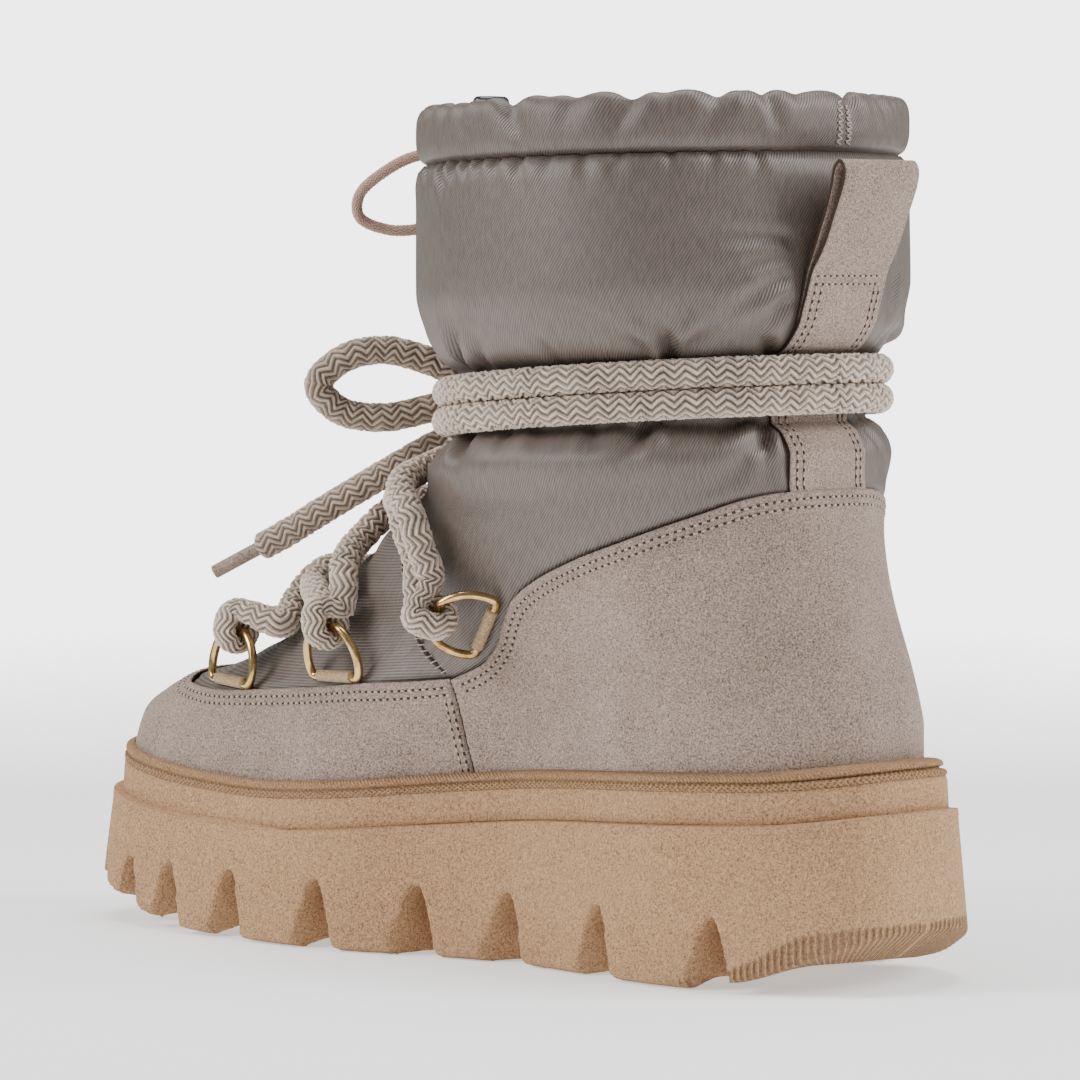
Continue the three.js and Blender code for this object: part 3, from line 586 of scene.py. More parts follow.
finishes = {
    "nylon": nylonFinish(), "suede": suedeFinish(), "foam": foamFinish(), "welt": weltFinish(),
    "outsole": outsoleFinish(),
    "rope": ropeFinish("lace rope", palette["rope"], palette["ropeDarkAndGapShade"], ropeThick),
    "bow": ropeFinish("bow rope", palette["bow"], palette["ropeDarkAndGapShade"], ropeThick),
    "cord": ropeFinish("drawcord", palette["cord"], palette["cordDarkAndGapShade"], cordThick, cordScale),
    "gold": plainFinish("antique gold", (260, 3, 0.55), (0.3, 0.62), tones("goldDark", "gold"),
                        (0.16, 0.12), (0.01, 0.2), Metallic=1.0),
    "lining": plainFinish("lining", (900, 4, 0.7), (0.3, 0.7), tones("liningDark", "lining"),
                          (0.95, 0), (0.6, 0.8), Sheen_Weight=0.4, Specular_IOR_Level=0.2),
    "plastic": plainFinish("black plastic", (700, 2), (0, 1), ((0.012, 0.012, 0.013, 1), (0.03, 0.03, 0.032, 1)),
                           (0.2, 0.12), (0.02, 0.4), Coat_Weight=0.3),
    "thread": plainFinish("thread", (1, 2), (0.2, 0.6), tones("suedeDark", "thread"),
                          (0.65, 0), (0.05, 0.6), (3000, 3000, 1200), Sheen_Weight=0.2),
    # dark colour of the suede's raw edges, also used as painted shade in the stitch holes
    "rawEdgeAndHoleShade": plainFinish("raw edge and hole shade", (2400, 4, 0.7), (0.3, 0.75), tones("rawEdgeAndHoleShade", "suedeDark"),
                           (0.95, 0), (0.2, 0.9), Specular_IOR_Level=0.15),
    "tape": plainFinish("bar tape", (1800, 2), (0.3, 0.7), tones("tapeDark", "tape"),
                        (0.5, 0), (0.12, 0.8), Sheen_Weight=0.2),
}
print("finishes ready")


def spokes(sides, tops, turn):  # directions round a line
    return sides * np.cos(turn)[:, None] + tops * np.sin(turn)[:, None]


# Rope: braided tubes, with rows of zig-zag along them
def ropeMesh(name, line, diameter, closed=False, folds=(), scale=1.0, ends=1.6):
    line, places = evenly(np.asarray(line, float), rope["step"] * scale)
    tangents, sides, tops = frames(line, closed)
    towards, squash = np.zeros_like(line), np.zeros(len(line))
    for fold in folds:  # the lace is flat where it folds over a wire
        away = line - fold
        away -= tangents * (away * tangents).sum(-1, keepdims=True)
        near = 1 - smooth(np.linalg.norm(line - fold, axis=-1), *lace["foldReach"])
        towards = np.where((near > squash)[:, None], unit(away), towards)
        squash = np.maximum(squash, near)
    length = places[-1]
    count = len(line) - 1
    lift = rope["raise"] * scale
    core = diameter / 2 - lift * 0.55
    bands = 2 * max(round(length / (2 * rope["band"] * scale)), 1)

    def place(s, t):
        row = np.rint(t * count).astype(int)
        along = places[row]
        run = along / length * bands * rope["band"]
        zigzag = np.abs((run / rope["band"] + 1) % 2 - 1)
        uneven = np.sin(run * 0.9 + np.sin(run * 0.23) * 3) * rope["uneven"]
        raised = 0.5 - 0.5 * np.cos(2 * np.pi * (s * rope["rows"] + zigzag * rope["slant"] + uneven))
        radius = core + lift * raised
        if not closed:
            reach = np.minimum(along, length - along)
            radius = radius * np.sqrt(np.clip(1 - (1 - np.clip(reach / ends, 0, 1)) ** 2, 0, 1))
        spread = spokes(sides[row], tops[row], 2 * np.pi * s)
        across = (spread * towards[row]).sum(-1, keepdims=True) * towards[row]
        press = squash[row][:, None]
        spread = spread * (1 + 0.1 * press) - across * press * lace["flat"]
        cloth = np.stack([run * scale, s * math.pi * diameter], -1)
        return line[row] + spread * radius[:, None], cloth

    mesh = gridMesh(name, rope["around"] if scale == 1 else rope["rows"] * 2, count, place)
    return mesh, line * mm, length * mm


# Lace: rings, crossings, turns and bow
lace = {
    "diameter": ropeThick, "flat": 0.42, "foldReach": (4.6, 11), "wrapPitch": 0.0235,
    "ringReach": 14.6, "ringHalf": 9.6, "ringTilt": 32,
    "rings": [(139.6, 0.1615, 0, 0), (115.2, 0.186, -2, 0), (90.6, 0.2645, 50, 0.3)],
    "outline": [(-1, 0), (-0.5, 0), (0, 0), (0.5, 0), (1, 0), (1.12, 0.3), (0.96, 0.68), (0.54, 0.94), (0, 1),
                (-0.54, 0.94), (-0.96, 0.68), (-1.12, 0.3)],
    "hook": [(0.45, 1.5), (1.02, 0.5), (1, -0.3), (0.62, -0.88), (0, -1.12), (-0.62, -0.88), (-1, -0.3),
             (-0.96, 0.5), (-0.3, 1.4)],
}
laceClear = lace["diameter"] / 2 + 2 * boot["gap"]


def wrapHeight(angle):
    return 0.622 + 0.012 * np.cos(angle)


def ringFrame(side, angle, height, turn, lift):
    angle = np.float64(side * math.radians(angle))
    step = 0.004
    around = unit(bareUpper(angle + step, height) - bareUpper(angle - step, height))
    up = unit(bareUpper(angle, height + step) - bareUpper(angle, height - step))
    out = unit(np.cross(up, around))
    up = np.cross(around, out)
    toToe = around * side
    lean, tilt = math.radians(turn), math.radians(lace["ringTilt"])
    reach = up * math.cos(lean) + toToe * math.sin(lean)
    bar = toToe * math.cos(lean) - up * math.sin(lean)
    arm = reach * math.cos(tilt) + out * math.sin(tilt)
    face = out * math.cos(tilt) - reach * math.sin(tilt)
    centre = onUpper(angle, height, boot["ringWire"] / 2 + 0.5 + 0.6 + lift)
    return {"centre": centre, "bar": bar, "arm": arm, "face": face}


ringFrames = {side: [ringFrame(side, *row) for row in lace["rings"]] for side in (1, -1)}
sideNames = {1: "inner", -1: "outer"}


def tubeMesh(name, line, radius, around=14, closed=False, step=0.5):
    line, places = evenly(np.asarray(line, float), step)
    tangents, sides, tops = frames(line, closed)
    count = len(line) - 1

    def place(s, t):
        row = np.rint(t * count).astype(int)
        spread = spokes(sides[row], tops[row], 2 * np.pi * s)
        return line[row] + spread * radius, np.stack([places[row], s * 2 * math.pi * radius], -1)

    return gridMesh(name, around, count, place)


def addRings():
    for side, rings in ringFrames.items():
        for number, ring in enumerate(rings, 1):
            bars, arms = ring["bar"] * lace["ringHalf"], ring["arm"] * lace["ringReach"]
            points = [ring["centre"] + bars * across + arms * ahead for across, ahead in lace["outline"]]
            line = catmull(points, closed=True, per=14)
            line = np.vstack([line, line[:1]])
            name = f"d_ring_{sideNames[side]}_{number}"
            mesh = tubeMesh(name + "_wire", line, boot["ringWire"] / 2 * 0.94, 14, True, 0.9)
            addPiece(name + "_wire", mesh, ["gold"], [name])


def hookPoints(ring, turn):
    arc = ring["centre"] + ring["arm"] * lace["ringReach"]
    return [arc + ring["face"] * up * turn + ring["arm"] * ahead * turn for up, ahead in lace["hook"]]


runPlaces = [  # degrees from the toe, share of the height, distance off the cloth
    [(34, 0.247, 2.2), (20, 0.272, 2.4), (4, 0.3, 2.5), (-20, 0.31, 2.5), (-42, 0.3, 3.6)],
    [(52, 0.298, 2.4), (47, 0.33, 2), (38, 0.355, 1.6), (24, 0.38, 1.3), (2, 0.41, 2), (-22, 0.435, 1.2),
     (-42, 0.45, 0.8), (-60, 0.425, 0.6), (-72, 0.37, 1)],
    [(78, 0.352, 2.6), (74, 0.4, 3.6), (66, 0.45, 4.4), (44, 0.49, 3.4), (20, 0.51, 2), (-8, 0.535, 1.2)],
]
barPlaces = [(20, 0.235, 2.5), (0, 0.245, 2.5), (-20, 0.235, 2.5)]


def runMiddle(side, places, lift):
    points = []
    for turn, height, rise in places:
        over = lift * float(1 - smooth(abs(turn), 4, 14))
        points.append(onUpper(math.radians(side * (180 - turn)), height, laceClear + rise + over))
    return points


def joinMeshes(name, meshes):
    bm = bmesh.new()
    for mesh in meshes:
        bm.from_mesh(mesh)
    return finishMesh(name, bm)


def addLace():
    turn = lace["diameter"] / 2 * (1.08 - lace["flat"]) + boot["ringWire"] / 2 + 0.1
    hooks = {side: [hookPoints(ring, turn) for ring in ringFrames[side]] for side in (1, -1)}
    arcs = [ring["centre"] + ring["arm"] * lace["ringReach"] for side in (1, -1) for ring in ringFrames[side]]
    parts = []
    for side in (1, -1):
        lift = 4.5 if side > 0 else 0
        wrapEnd = onUpper(math.radians(side * 204), wrapHeight(math.pi) - lace["wrapPitch"], laceClear)
        for number, places in enumerate(runPlaces):
            own = hooks[side][number][::-1]
            target = [wrapEnd] if number == 2 else [hooks[-side][number + 1][-1]]
            line = catmull(own + runMiddle(side, places, lift) + target)
            parts.append(ropeMesh("run", line, lace["diameter"], folds=arcs)[0])
    line = catmull([hooks[1][0][-1]] + runMiddle(1, barPlaces, 0) + [hooks[-1][0][-1]])
    parts.append(ropeMesh("bar", line, lace["diameter"], folds=arcs)[0])
    addPiece("lace_runs_rope", joinMeshes("lace_runs_rope", parts), ["rope"], ())
    parts = []
    for side in (1, -1):
        angle = np.linspace(0, 2 * np.pi, 181)
        over = 2.7 * (1 - smooth(np.abs(np.sin(angle / 2)), 0.18, 0.3))
        ring = onUpper(angle, wrapHeight(angle) + side * lace["wrapPitch"], laceClear + over)
        parts.append(ropeMesh("wrap", ring, lace["diameter"], closed=True)[0])
    addPiece("lace_wraps_rope", joinMeshes("lace_wraps_rope", parts), ["rope"], ["lace_crossings"])


knot = {"turns": [(0.25, 1.0), (-0.35, 0.93)], "thick": 6.0, "ahead": 0.4, "reach": (4.2, 4, 4.4), "off": 6.4}
aglet = {"radius": 1.95, "back": 0.8, "along": (0, 0.5, 8, 14.6, 15.2)}
knotCentre = onUpper(math.pi, wrapHeight(math.pi), lace["diameter"] + knot["off"] + boot["gap"])
bow = {  # heading of each part, then its points as reach and rise
    "loop_inner": ((-0.66, -0.75), [(5, 8), (10, 10.2), (18, 13.4), (29, 15.8), (40, 13.4), (47, 6), (41, -1),
                                    (29, -3), (18, -1), (10, 1), (5, 0.3)]),
    "loop_outer": ((-0.5, 0.86), [(5, 8), (10, 9.6), (18, 10.8), (28, 10.8), (38, 7), (43, -0.6), (37, -7),
                                  (28, -7.4), (18, -3.6), (10, 0), (5, 0.3)]),
    "end_inner": ((-0.88, -0.47), [(5, -7.6), (9, -8.6), (14, -10.4), (24, -15.6), (36, -22.4), (49, -30),
                                   (60, -36.6), (68, -40.8)]),
    "end_outer": ((-0.7, 0.71), [(5, -7.6), (10, -8.6), (15, -10.4), (25, -16), (36, -25), (46, -36),
                                 (53, -47), (57, -56)]),
}


def bowLine(part):
    heading, points = bow[part]
    return np.array([knotCentre + np.array([heading[0] * reach, heading[1] * reach, rise]) for reach, rise in points])


def addBow():
    turns = []
    wide, deep, tall = knot["reach"]
    for lean, size in knot["turns"]:  # two turns of the lace, crossed
        turn = np.linspace(0, 2 * np.pi, 97)
        ring = [np.cos(turn) * wide * size - knot["ahead"], np.sin(turn) * lean * deep, np.sin(turn) * tall * size]
        turns.append(ropeMesh("knot", knotCentre + np.stack(ring, -1), knot["thick"], closed=True)[0])
    middle = addPiece("lace_knot_rope", joinMeshes("lace_knot_rope", turns), ["bow"], ["lace_knot"])
    for side in ("inner", "outer"):
        name = f"lace_loop_{side}"
        mesh, path, length = ropeMesh(name + "_rope", catmull(bowLine("loop_" + side)), lace["diameter"])
        loop = addPiece(name + "_rope", mesh, ["bow"], [name])
        name = f"lace_end_{side}"
        points = bowLine("end_" + side)
        mesh, path, length = ropeMesh(name + "_rope", catmull(points), lace["diameter"], ends=2.4)
        end = addPiece(name + "_rope", mesh, ["bow"], [name])
        heading = unit(points[-1] - points[-2])
        start = points[-1] - heading * aglet["back"]
        line = np.array([start + heading * reach for reach in aglet["along"]])
        mesh = tubeMesh(f"aglet_{side}_tape", evenly(line, 0.6)[0], aglet["radius"], 14)
        capEnds(mesh)
        tape = addPiece(f"aglet_{side}_tape", mesh, ["suede"], ["aglet_" + side])


def capEnds(mesh):
    def cap(bm):
        rims = [edge for edge in bm.edges if edge.is_boundary]
        bmesh.ops.holes_fill(bm, edges=rims, sides=0)
        bmesh.ops.recalc_face_normals(bm, faces=bm.faces)

    edited(mesh, cap)


lock = {"size": (8, 12, 15), "base": boot["collarHeight"] + 3.8, "round": 1.6, "seam": 3.4, "groove": 0.35,
        "apart": 1.2, "across": 2}
lockCentre = onUpper(math.pi, 1, lock["size"][0] / 2 + lock["apart"])
lockCentre[1], lockCentre[2] = lock["across"], lock["base"] + lock["size"][2] / 2
drawcord = [
    (-1, -3.6, -0.7), (-1.4, -4.4, -3), (-5, -9, -1.6), (-12, -17, -1.6), (-20, -22, -6), (-27, -25, -12.6),
    (-28, -24, -18.4), (-23, -18, -22), (-16, -11, -21.6), (-9, -4, -17.6), (-3, 2, -8), (-1, 3.6, -0.7),
]


def addDrawcord():
    bm = bmesh.new()
    bmesh.ops.create_cone(bm, cap_ends=True, cap_tris=False, segments=48, radius1=0.5, radius2=0.5, depth=1)
    bmesh.ops.scale(bm, verts=bm.verts, vec=Vector(lock["size"]) * mm)
    rims = [edge for edge in bm.edges if len(edge.link_faces) == 2 and edge.calc_face_angle() > 1]
    bmesh.ops.bevel(bm, geom=rims, offset=lock["round"] * mm, segments=5, profile=0.5, affect="EDGES", material=-1)
    everything = bm.verts[:] + bm.edges[:] + bm.faces[:]
    seams = bmesh.ops.bisect_plane(bm, geom=everything, plane_co=(0, 0, lock["seam"] * mm), plane_no=(0, 0, 1))
    groove = [item for item in seams["geom_cut"] if isinstance(item, bmesh.types.BMEdge)]
    bmesh.ops.bevel(bm, geom=groove, offset=lock["groove"] * mm, segments=2, profile=0.0, affect="EDGES", material=-1)
    bmesh.ops.translate(bm, verts=bm.verts, vec=Vector(lockCentre) * mm)
    mesh = finishMesh("cord_lock_barrel", bm)
    barrel = addPiece("cord_lock_barrel", mesh, ["plastic"], ["cord_lock"])
    base = np.array([lockCentre[0], lockCentre[1], lock["base"]])
    points = [base + np.array(point) for point in drawcord]
    mesh, path, length = ropeMesh("drawcord_loop_braid", catmull(points), cordThick, scale=cordScale, ends=0.6)
    loop = addPiece("drawcord_loop_braid", mesh, ["cord"], ["drawcord_loop"])


addRings()
addLace()
addBow()
addDrawcord()
print("lace, rings and drawcord done")


def sideX(share):
    return np.asarray(share, float) * halfSole


def sideZ(share):
    return boot["ledgeHeight"] + np.asarray(share, float) * (boot["collarHeight"] - boot["ledgeHeight"])


def sidePlace(x, z, side, offset=0.0):  # angle and height of the point over x, z in side view
    x, z = np.asarray(x, float), np.asarray(z, float)
    aimX, aimZ = x.copy(), z.copy()
    for again in range(5):
        height = np.clip((aimZ - seat(aimX)) / (collarLine(aimX) - seat(aimX)), 0, 1)
        back, front = upperCurves["back"](height), upperCurves["front"](height)
        angle = side * np.arccos(np.clip(1 - 2 * (back - aimX) / (back - front), -1, 1))
        point = onUpper(angle, height, offset)
        aimX, aimZ = aimX + x - point[..., 0], aimZ + z - point[..., 2]
    return angle, height


def shiftOn(angle, height, move):  # new angle and height after a move along the surface
    for again in range(2):
        step = 0.002
        around = (bareUpper(angle + step, height) - bareUpper(angle - step, height)) / (2 * step)
        up = (bareUpper(angle, height + step) - bareUpper(angle, height - step)) / (2 * step)
        aa, ab, bb = (around * around).sum(-1), (around * up).sum(-1), (up * up).sum(-1)
        halfAround, halfUp = (around * move).sum(-1) / 2, (up * move).sum(-1) / 2
        share = aa * bb - ab * ab
        angle = angle + (halfAround * bb - halfUp * ab) / share
        height = height + (halfUp * aa - halfAround * ab) / share
    return angle, height


# Edges of the suede in side view
counterSeam = {"x": [0.111, 0.082, 0.038, 0.031], "z": [-0.278, -0.061, 0.105, 0.172]}
counterTop = {
    "x": [0.031, 0.108, 0.155, 0.188, 0.228, 0.290, 0.419, 0.540, 0.666, 0.760, 0.860],
    "z": [0.172, 0.200, 0.234, 0.274, 0.310, 0.339, 0.380, 0.413, 0.452, 0.484, 0.494],
}
guardTop = {
    "x": [-1.2, -0.829, -0.828, -0.800, -0.745, -0.650, -0.505, -0.352, -0.175, -0.030, 0.03],
    "z": [0.182, 0.182, 0.182, 0.139, 0.121, 0.118, 0.126, 0.137, 0.154, 0.168, 0.174],
}
panelSeam = {"x": [0.024, -0.020, -0.048, -0.070, -0.072, -0.100, -0.200],
             "z": [0.178, 0.214, 0.259, 0.348, 0.425, 0.470, 0.500]}
seamX = column(sideZ(counterSeam["z"]), sideX(counterSeam["x"]))
counterZ = column(sideX(counterTop["x"]), sideZ(counterTop["z"]))
guardZ = column(sideX(guardTop["x"]), sideZ(guardTop["z"]))


def suedeAbove(points):  # how far a point lies above the suede's edge
    x, z = points[..., 0], points[..., 2]
    edge = np.where(x > seamX(z), counterZ(np.maximum(x, seamX(z))), guardZ(x))
    return z - edge


# Upper: folds run from their deep end to where they fade, in degrees and shares, then half width and depth
upper = {
    "across": 320, "up": 148, "foldDepth": 1.4, "puff": 0.9, "plump": 0.35, "tuck": 1.3, "wall": 3.2,
    "aroundSize": 62, "upSize": 167,
    "folds": [
        (113, 0.69, 106, 0.765, 2.4, 1.9), (102, 0.69, 97, 0.73, 2.0, 0.7), (44, 0.692, 46, 0.735, 2.6, 2.2),
        (40, 0.695, 29, 0.72, 2.4, 1.0), (50, 0.695, 60, 0.72, 2.4, 0.9), (76, 0.69, 80, 0.72, 2.2, 0.6),
        (17, 0.69, 25, 0.73, 2.2, 1.0), (49, 0.58, 55, 0.525, 2.6, 1.7), (66, 0.58, 62, 0.54, 2.2, 0.7),
        (19, 0.582, 34, 0.555, 2.2, 1.5), (17, 0.565, 27, 0.50, 2.2, 1.5), (18, 0.545, 20, 0.47, 2.0, 1.0),
        (118, 0.585, 104, 0.515, 2.4, 2.0), (95, 0.58, 92, 0.54, 2.0, 0.7), (84, 0.58, 78, 0.55, 2.4, 0.6),
        (17, 0.83, 34, 0.80, 2.6, 1.0), (17, 0.80, 31, 0.745, 2.6, 1.1), (16, 0.76, 27, 0.70, 2.4, 1.1),
        (16, 0.86, 40, 0.865, 3.2, 0.8), (-17, 0.85, -20, 0.74, 2.2, 1.2), (-21, 0.80, -24, 0.70, 2.0, 0.9),
        (-19, 0.90, -30, 0.86, 2.4, 0.8), (-24, 0.68, -30, 0.74, 2.2, 1.0), (-20, 0.57, -26, 0.50, 2.2, 1.1),
        (109.5, 1.0, 106, 0.93, 1.5, 1.6), (104, 1.0, 102, 0.955, 1.4, 0.9), (99, 1.0, 97, 0.96, 1.3, 0.8),
        (94, 1.0, 93, 0.965, 1.3, 0.7), (88, 1.0, 88, 0.96, 1.4, 0.7), (81, 1.0, 80, 0.955, 1.6, 0.9),
        (73, 1.0, 72, 0.965, 1.5, 0.5), (64, 1.0, 62, 0.95, 1.8, 0.6), (55, 1.0, 56, 0.96, 1.6, 0.5),
        (43, 1.0, 42, 0.95, 1.8, 0.6), (33, 1.0, 34, 0.96, 1.6, 0.5), (22, 1.0, 23, 0.95, 1.6, 0.6),
        (120, 1.0, 119, 0.94, 1.5, 1.0), (132, 1.0, 131, 0.95, 1.6, 0.8), (146, 1.0, 147, 0.94, 1.6, 1.0),
        (160, 1.0, 161, 0.95, 1.6, 0.8), (175, 1.0, 174, 0.94, 1.6, 1.0),
        (150, 0.455, 128, 0.40, 2.6, 1.2), (158, 0.40, 138, 0.35, 2.8, 1.0), (128, 0.30, 104, 0.26, 3.2, 1.0),
        (146, 0.29, 122, 0.23, 3.0, 0.9), (160, 0.24, 142, 0.20, 2.6, 0.6), (105, 0.24, 99, 0.33, 2.6, 0.7),
        (168, 0.69, 160, 0.75, 2.4, 1.2), (140, 0.69, 136, 0.74, 2.4, 1.0), (150, 0.58, 146, 0.52, 2.4, 1.0),
    ],
    "swells": [(150, 0.76, 26, 18, 0.9), (75, 0.86, 46, 24, 0.9), (62, 0.47, 34, 14, 0.8), (28, 0.50, 14, 12, 0.7),
               (27, 0.90, 22, 14, -0.7), (-26, 0.80, 10, 20, 0.8), (140, 0.33, 18, 9, 0.8)],
}


def foldRelief(angle, height):
    turn = (angle + np.pi) % (2 * np.pi) - np.pi
    total = np.zeros_like(angle)
    for side in (1, -1):
        for a0, h0, a1, h1, half, deep in upper["folds"]:
            if side < 0:  # the outer side has the same folds, a little apart
                a0, a1, half = -a0 * 0.985 - 2, -a1 * 1.015 - 1, half * 1.08
            if side < 0 and abs(a0) < 26:
                continue
            near = (turn - math.radians(a0) + np.pi) % (2 * np.pi) - np.pi
            u, v = near * upper["aroundSize"], (height - h0) * upper["upSize"]
            du, dv = math.radians(a1 - a0) * upper["aroundSize"], (h1 - h0) * upper["upSize"]
            length = math.hypot(du, dv)
            along, across = (u * du + v * dv) / length, (u * dv - v * du) / length
            along = along / length
            fade = np.exp(-(np.minimum(along, 0) * length / half) ** 2) * np.exp(-np.maximum(along, 0) ** 2 * 1.7)
            wide = half * (1 + 0.8 * np.clip(along, 0, 1))
            trough = -np.exp(-(across / wide * 1.5) ** 2)
            ridges = sum(np.exp(-((across / wide + apart) * 1.4) ** 2) for apart in (-1.5, 1.5))
            total += upper["foldDepth"] * deep * fade * (trough + 0.5 * ridges)
        for a, h, wideU, wideV, high in upper["swells"]:
            near = (turn - side * math.radians(a) + np.pi) % (2 * np.pi) - np.pi
            u, v = near * upper["aroundSize"] / wideU, (height - h) * upper["upSize"] / wideV
            total += high * np.exp(-u * u - v * v)
    return total


def frontPanel(points):  # 1 on the front panel, 0 on the side panels
    x, z = points[..., 0], points[..., 2]
    seamZ = sideZ(panelSeam["z"])
    edge = np.interp(z, seamZ, sideX(panelSeam["x"]))
    return smooth(edge - x, -0.5, 0.5) * (1 - smooth(z, seamZ[-1] - 1, seamZ[-1] + 1))


def addUpper():
    def place(s, t):
        angle = 2 * np.pi * s
        bare = bareUpper(angle, t)
        above = suedeAbove(bare)
        clear = smooth(above, -1, 4)
        behind = smooth(np.abs(bare[:, 1]), 13, 17) + (bare[:, 0] < boot["shaftCentre"])  # flat under the strap
        relief = foldRelief(angle, t) * clear
        relief = np.where(relief > 0, relief * np.clip(behind, 0, 1), relief)
        relief += upper["plump"] * (1 - frontPanel(bare)) * clear - upper["tuck"] * smooth(t, 0.985, 1.0)
        relief += upper["puff"] * smooth(above, -0.2, 0.9) * np.exp(-(above / 4) ** 2)  # pressed up beside the suede
        points = onUpper(angle, np.clip(t, 0.001, 0.999), relief)
        return points, np.stack([angle * upper["aroundSize"], upper["upSize"] * t], -1)

    def values(s, t):
        return {"front": frontPanel(bareUpper(2 * np.pi * s, t))}

    mesh = gridMesh("upper_cloth", upper["across"], upper["up"], place, values)
    piece = addPiece("upper_cloth", mesh, ["nylon", "lining"], ["upper"])
    wall(piece, upper["wall"], 1, 1)


def wall(piece, thickness, inside=0, rim=0, middle=False):
    shell = piece.modifiers.new("wall", "SOLIDIFY")
    shell.thickness = thickness * mm
    shell.offset = 0 if middle else -1
    shell.use_even_offset = False
    shell.material_offset = inside
    shell.material_offset_rim = rim


# Suede: guard round the toe and counter round the heel
suede = {
    "across": 330, "up": 84, "edgeRound": 0.9, "seamRound": 0.4, "rows": (2.3, 4.4), "seamRows": (1.5, 3.3),
    "grooveHalf": 0.5, "grooveDeep": 0.18, "seamGap": 0.12,
}


def halved(low, high, before):  # where before stops being true, by halving
    for again in range(26):
        middle = (low + high) / 2
        short = before(middle)
        low, high = np.where(short, middle, low), np.where(short, high, middle)
    return (low + high) / 2


def seamAngle(height):  # angle of the seam between guard and counter at a height, inner side
    def before(angle):
        point = bareUpper(angle, height)
        return point[..., 0] > seamX(point[..., 2])

    return halved(np.full_like(height, 0.6), np.full_like(height, 2.6), before)


seamHeights = np.linspace(0, 0.62, 320)
seamAngles = seamAngle(seamHeights)


def suedeAngle(s, height, counter):
    seam = np.interp(height, seamHeights, seamAngles)
    gapTurn = suede["seamGap"] / 60
    if counter:
        return s * (seam - gapTurn / 2)
    return np.pi - s * (np.pi - seam - gapTurn / 2)


def suedeTop(s, counter):
    def before(height):
        point = bareUpper(suedeAngle(s, height, counter), height)
        return point[..., 2] < (counterZ if counter else guardZ)(point[..., 0])

    return halved(np.full_like(s, 0.05), np.full_like(s, 0.6 if counter else 0.3), before)


def suedeEdge(counter, count=900):  # angle and height along the top edge
    s = np.linspace(-1, 1, count)
    top = suedeTop(s, counter)
    return suedeAngle(s, top, counter), top


def treeOf(points):
    tree = kdtree.KDTree(len(points))
    for number, point in enumerate(points):
        tree.insert(point, number)
    tree.balance()
    return tree


def addSuede(name, counter, replaced):
    s = np.linspace(-1, 1, suede["across"] + 1)
    tops = suedeTop(s, counter)
    topTree = treeOf(bareUpper(*suedeEdge(counter)))
    seams = []
    for end in (0, -1):
        up = np.linspace(0, tops[end], 160)
        seams.append(bareUpper(suedeAngle(np.full_like(up, s[end]), up, counter), up))
    seamTree = treeOf(np.vstack(seams))

    def lack(apart, reach):
        return (1 - np.sqrt(1 - np.clip(1 - apart / reach, 0, 1) ** 2)) * 0.85

    def place(across, up):
        side = across * 2 - 1
        rise = np.interp(side, s, tops) * (1 - (1 - up) ** 1.25)
        turn = suedeAngle(side, rise, counter)
        bare = bareUpper(turn, rise)
        apart = np.array([topTree.find(point)[2] for point in bare])
        beside = np.array([seamTree.find(point)[2] for point in bare])
        high = boot["suede"] - np.maximum(lack(apart, suede["edgeRound"]), lack(beside, suede["seamRound"]))
        dents = [(apart, row) for row in suede["rows"]]
        if not counter:
            dents += [(beside, row) for row in suede["seamRows"]]
        for distance, row in dents:
            high -= suede["grooveDeep"] * np.exp(-((distance - row) / suede["grooveHalf"]) ** 2)
        cloth = np.stack([turn * upper["aroundSize"], rise * upper["upSize"]], -1)
        return onUpper(turn, rise, boot["gap"] + high), cloth

    mesh = gridMesh(name, suede["across"], suede["up"], place, weld=False)
    outwards(mesh)
    piece = addPiece(name, mesh, ["suede", "rawEdgeAndHoleShade"], [replaced])
    wall(piece, boot["suede"] - 0.35, 0, 1)


def outwards(mesh):  # an open shell's faces look away from the middle of the boot
    normals, centres = readRows(mesh.polygons, "normal"), readRows(mesh.polygons, "center")
    away = centres - np.array([boot["shaftCentre"] * mm * 0.3, 0, 0])
    away[:, 2] = 0
    if (normals * away).sum() < 0:
        mesh.flip_normals()


# Stitches: threads, and dark beads sunk at the holes between them as painted shade
stitch = {"pitch": 2.3, "size": (0.36, 0.36, 0.75), "holeShade": (0.4, 0.72, 0.3), "sunk": 0.12, "stretch": 120}


def stitchRow(bm, line, outs):
    points, places = evenly(line, stitch["pitch"])
    lengths = pathLengths(line)
    alongRow = Matrix.Rotation(math.pi / 2, 4, "X")

    def bead(centre, turn):
        where = Matrix.Translation(Vector(centre * mm)) @ turn
        return bmesh.ops.create_uvsphere(bm, u_segments=6, v_segments=4, radius=1, matrix=where)["verts"]

    def sized(size):
        return Matrix.Diagonal((*(side * mm for side in size), 1))

    for i in range(len(points) - 1):
        ahead = unit(points[i + 1] - points[i])
        at = (places[i] + places[i + 1]) / 2
        out = unit(np.array([np.interp(at, lengths, outs[:, k]) for k in range(3)]))
        turn = Matrix((np.cross(out, ahead), ahead, out)).transposed().to_4x4()
        half, thick, long = stitch["size"]
        bead((points[i] + points[i + 1]) / 2, turn @ sized((half, long, thick)) @ alongRow)
        # a dark bead sunk in each hole: painted shade of the hole
        for vert in bead(points[i] - out * stitch["sunk"], turn @ sized(stitch["holeShade"])):
            for face in vert.link_faces:
                face.material_index = 1


def addStitches(name, rows):
    meshes = []
    for line, outs in rows:
        cut = max(int(pathLengths(line)[-1] / stitch["stretch"]), 1)
        for part in range(cut):
            low, high = part * len(line) // cut, min((part + 1) * len(line) // cut + 1, len(line))
            bm = bmesh.new()
            stitchRow(bm, line[low:high], outs[low:high])
            meshes.append(finishMesh("row", bm))
    addPiece(name, joinMeshes(name, meshes), ["thread", "rawEdgeAndHoleShade"], ())


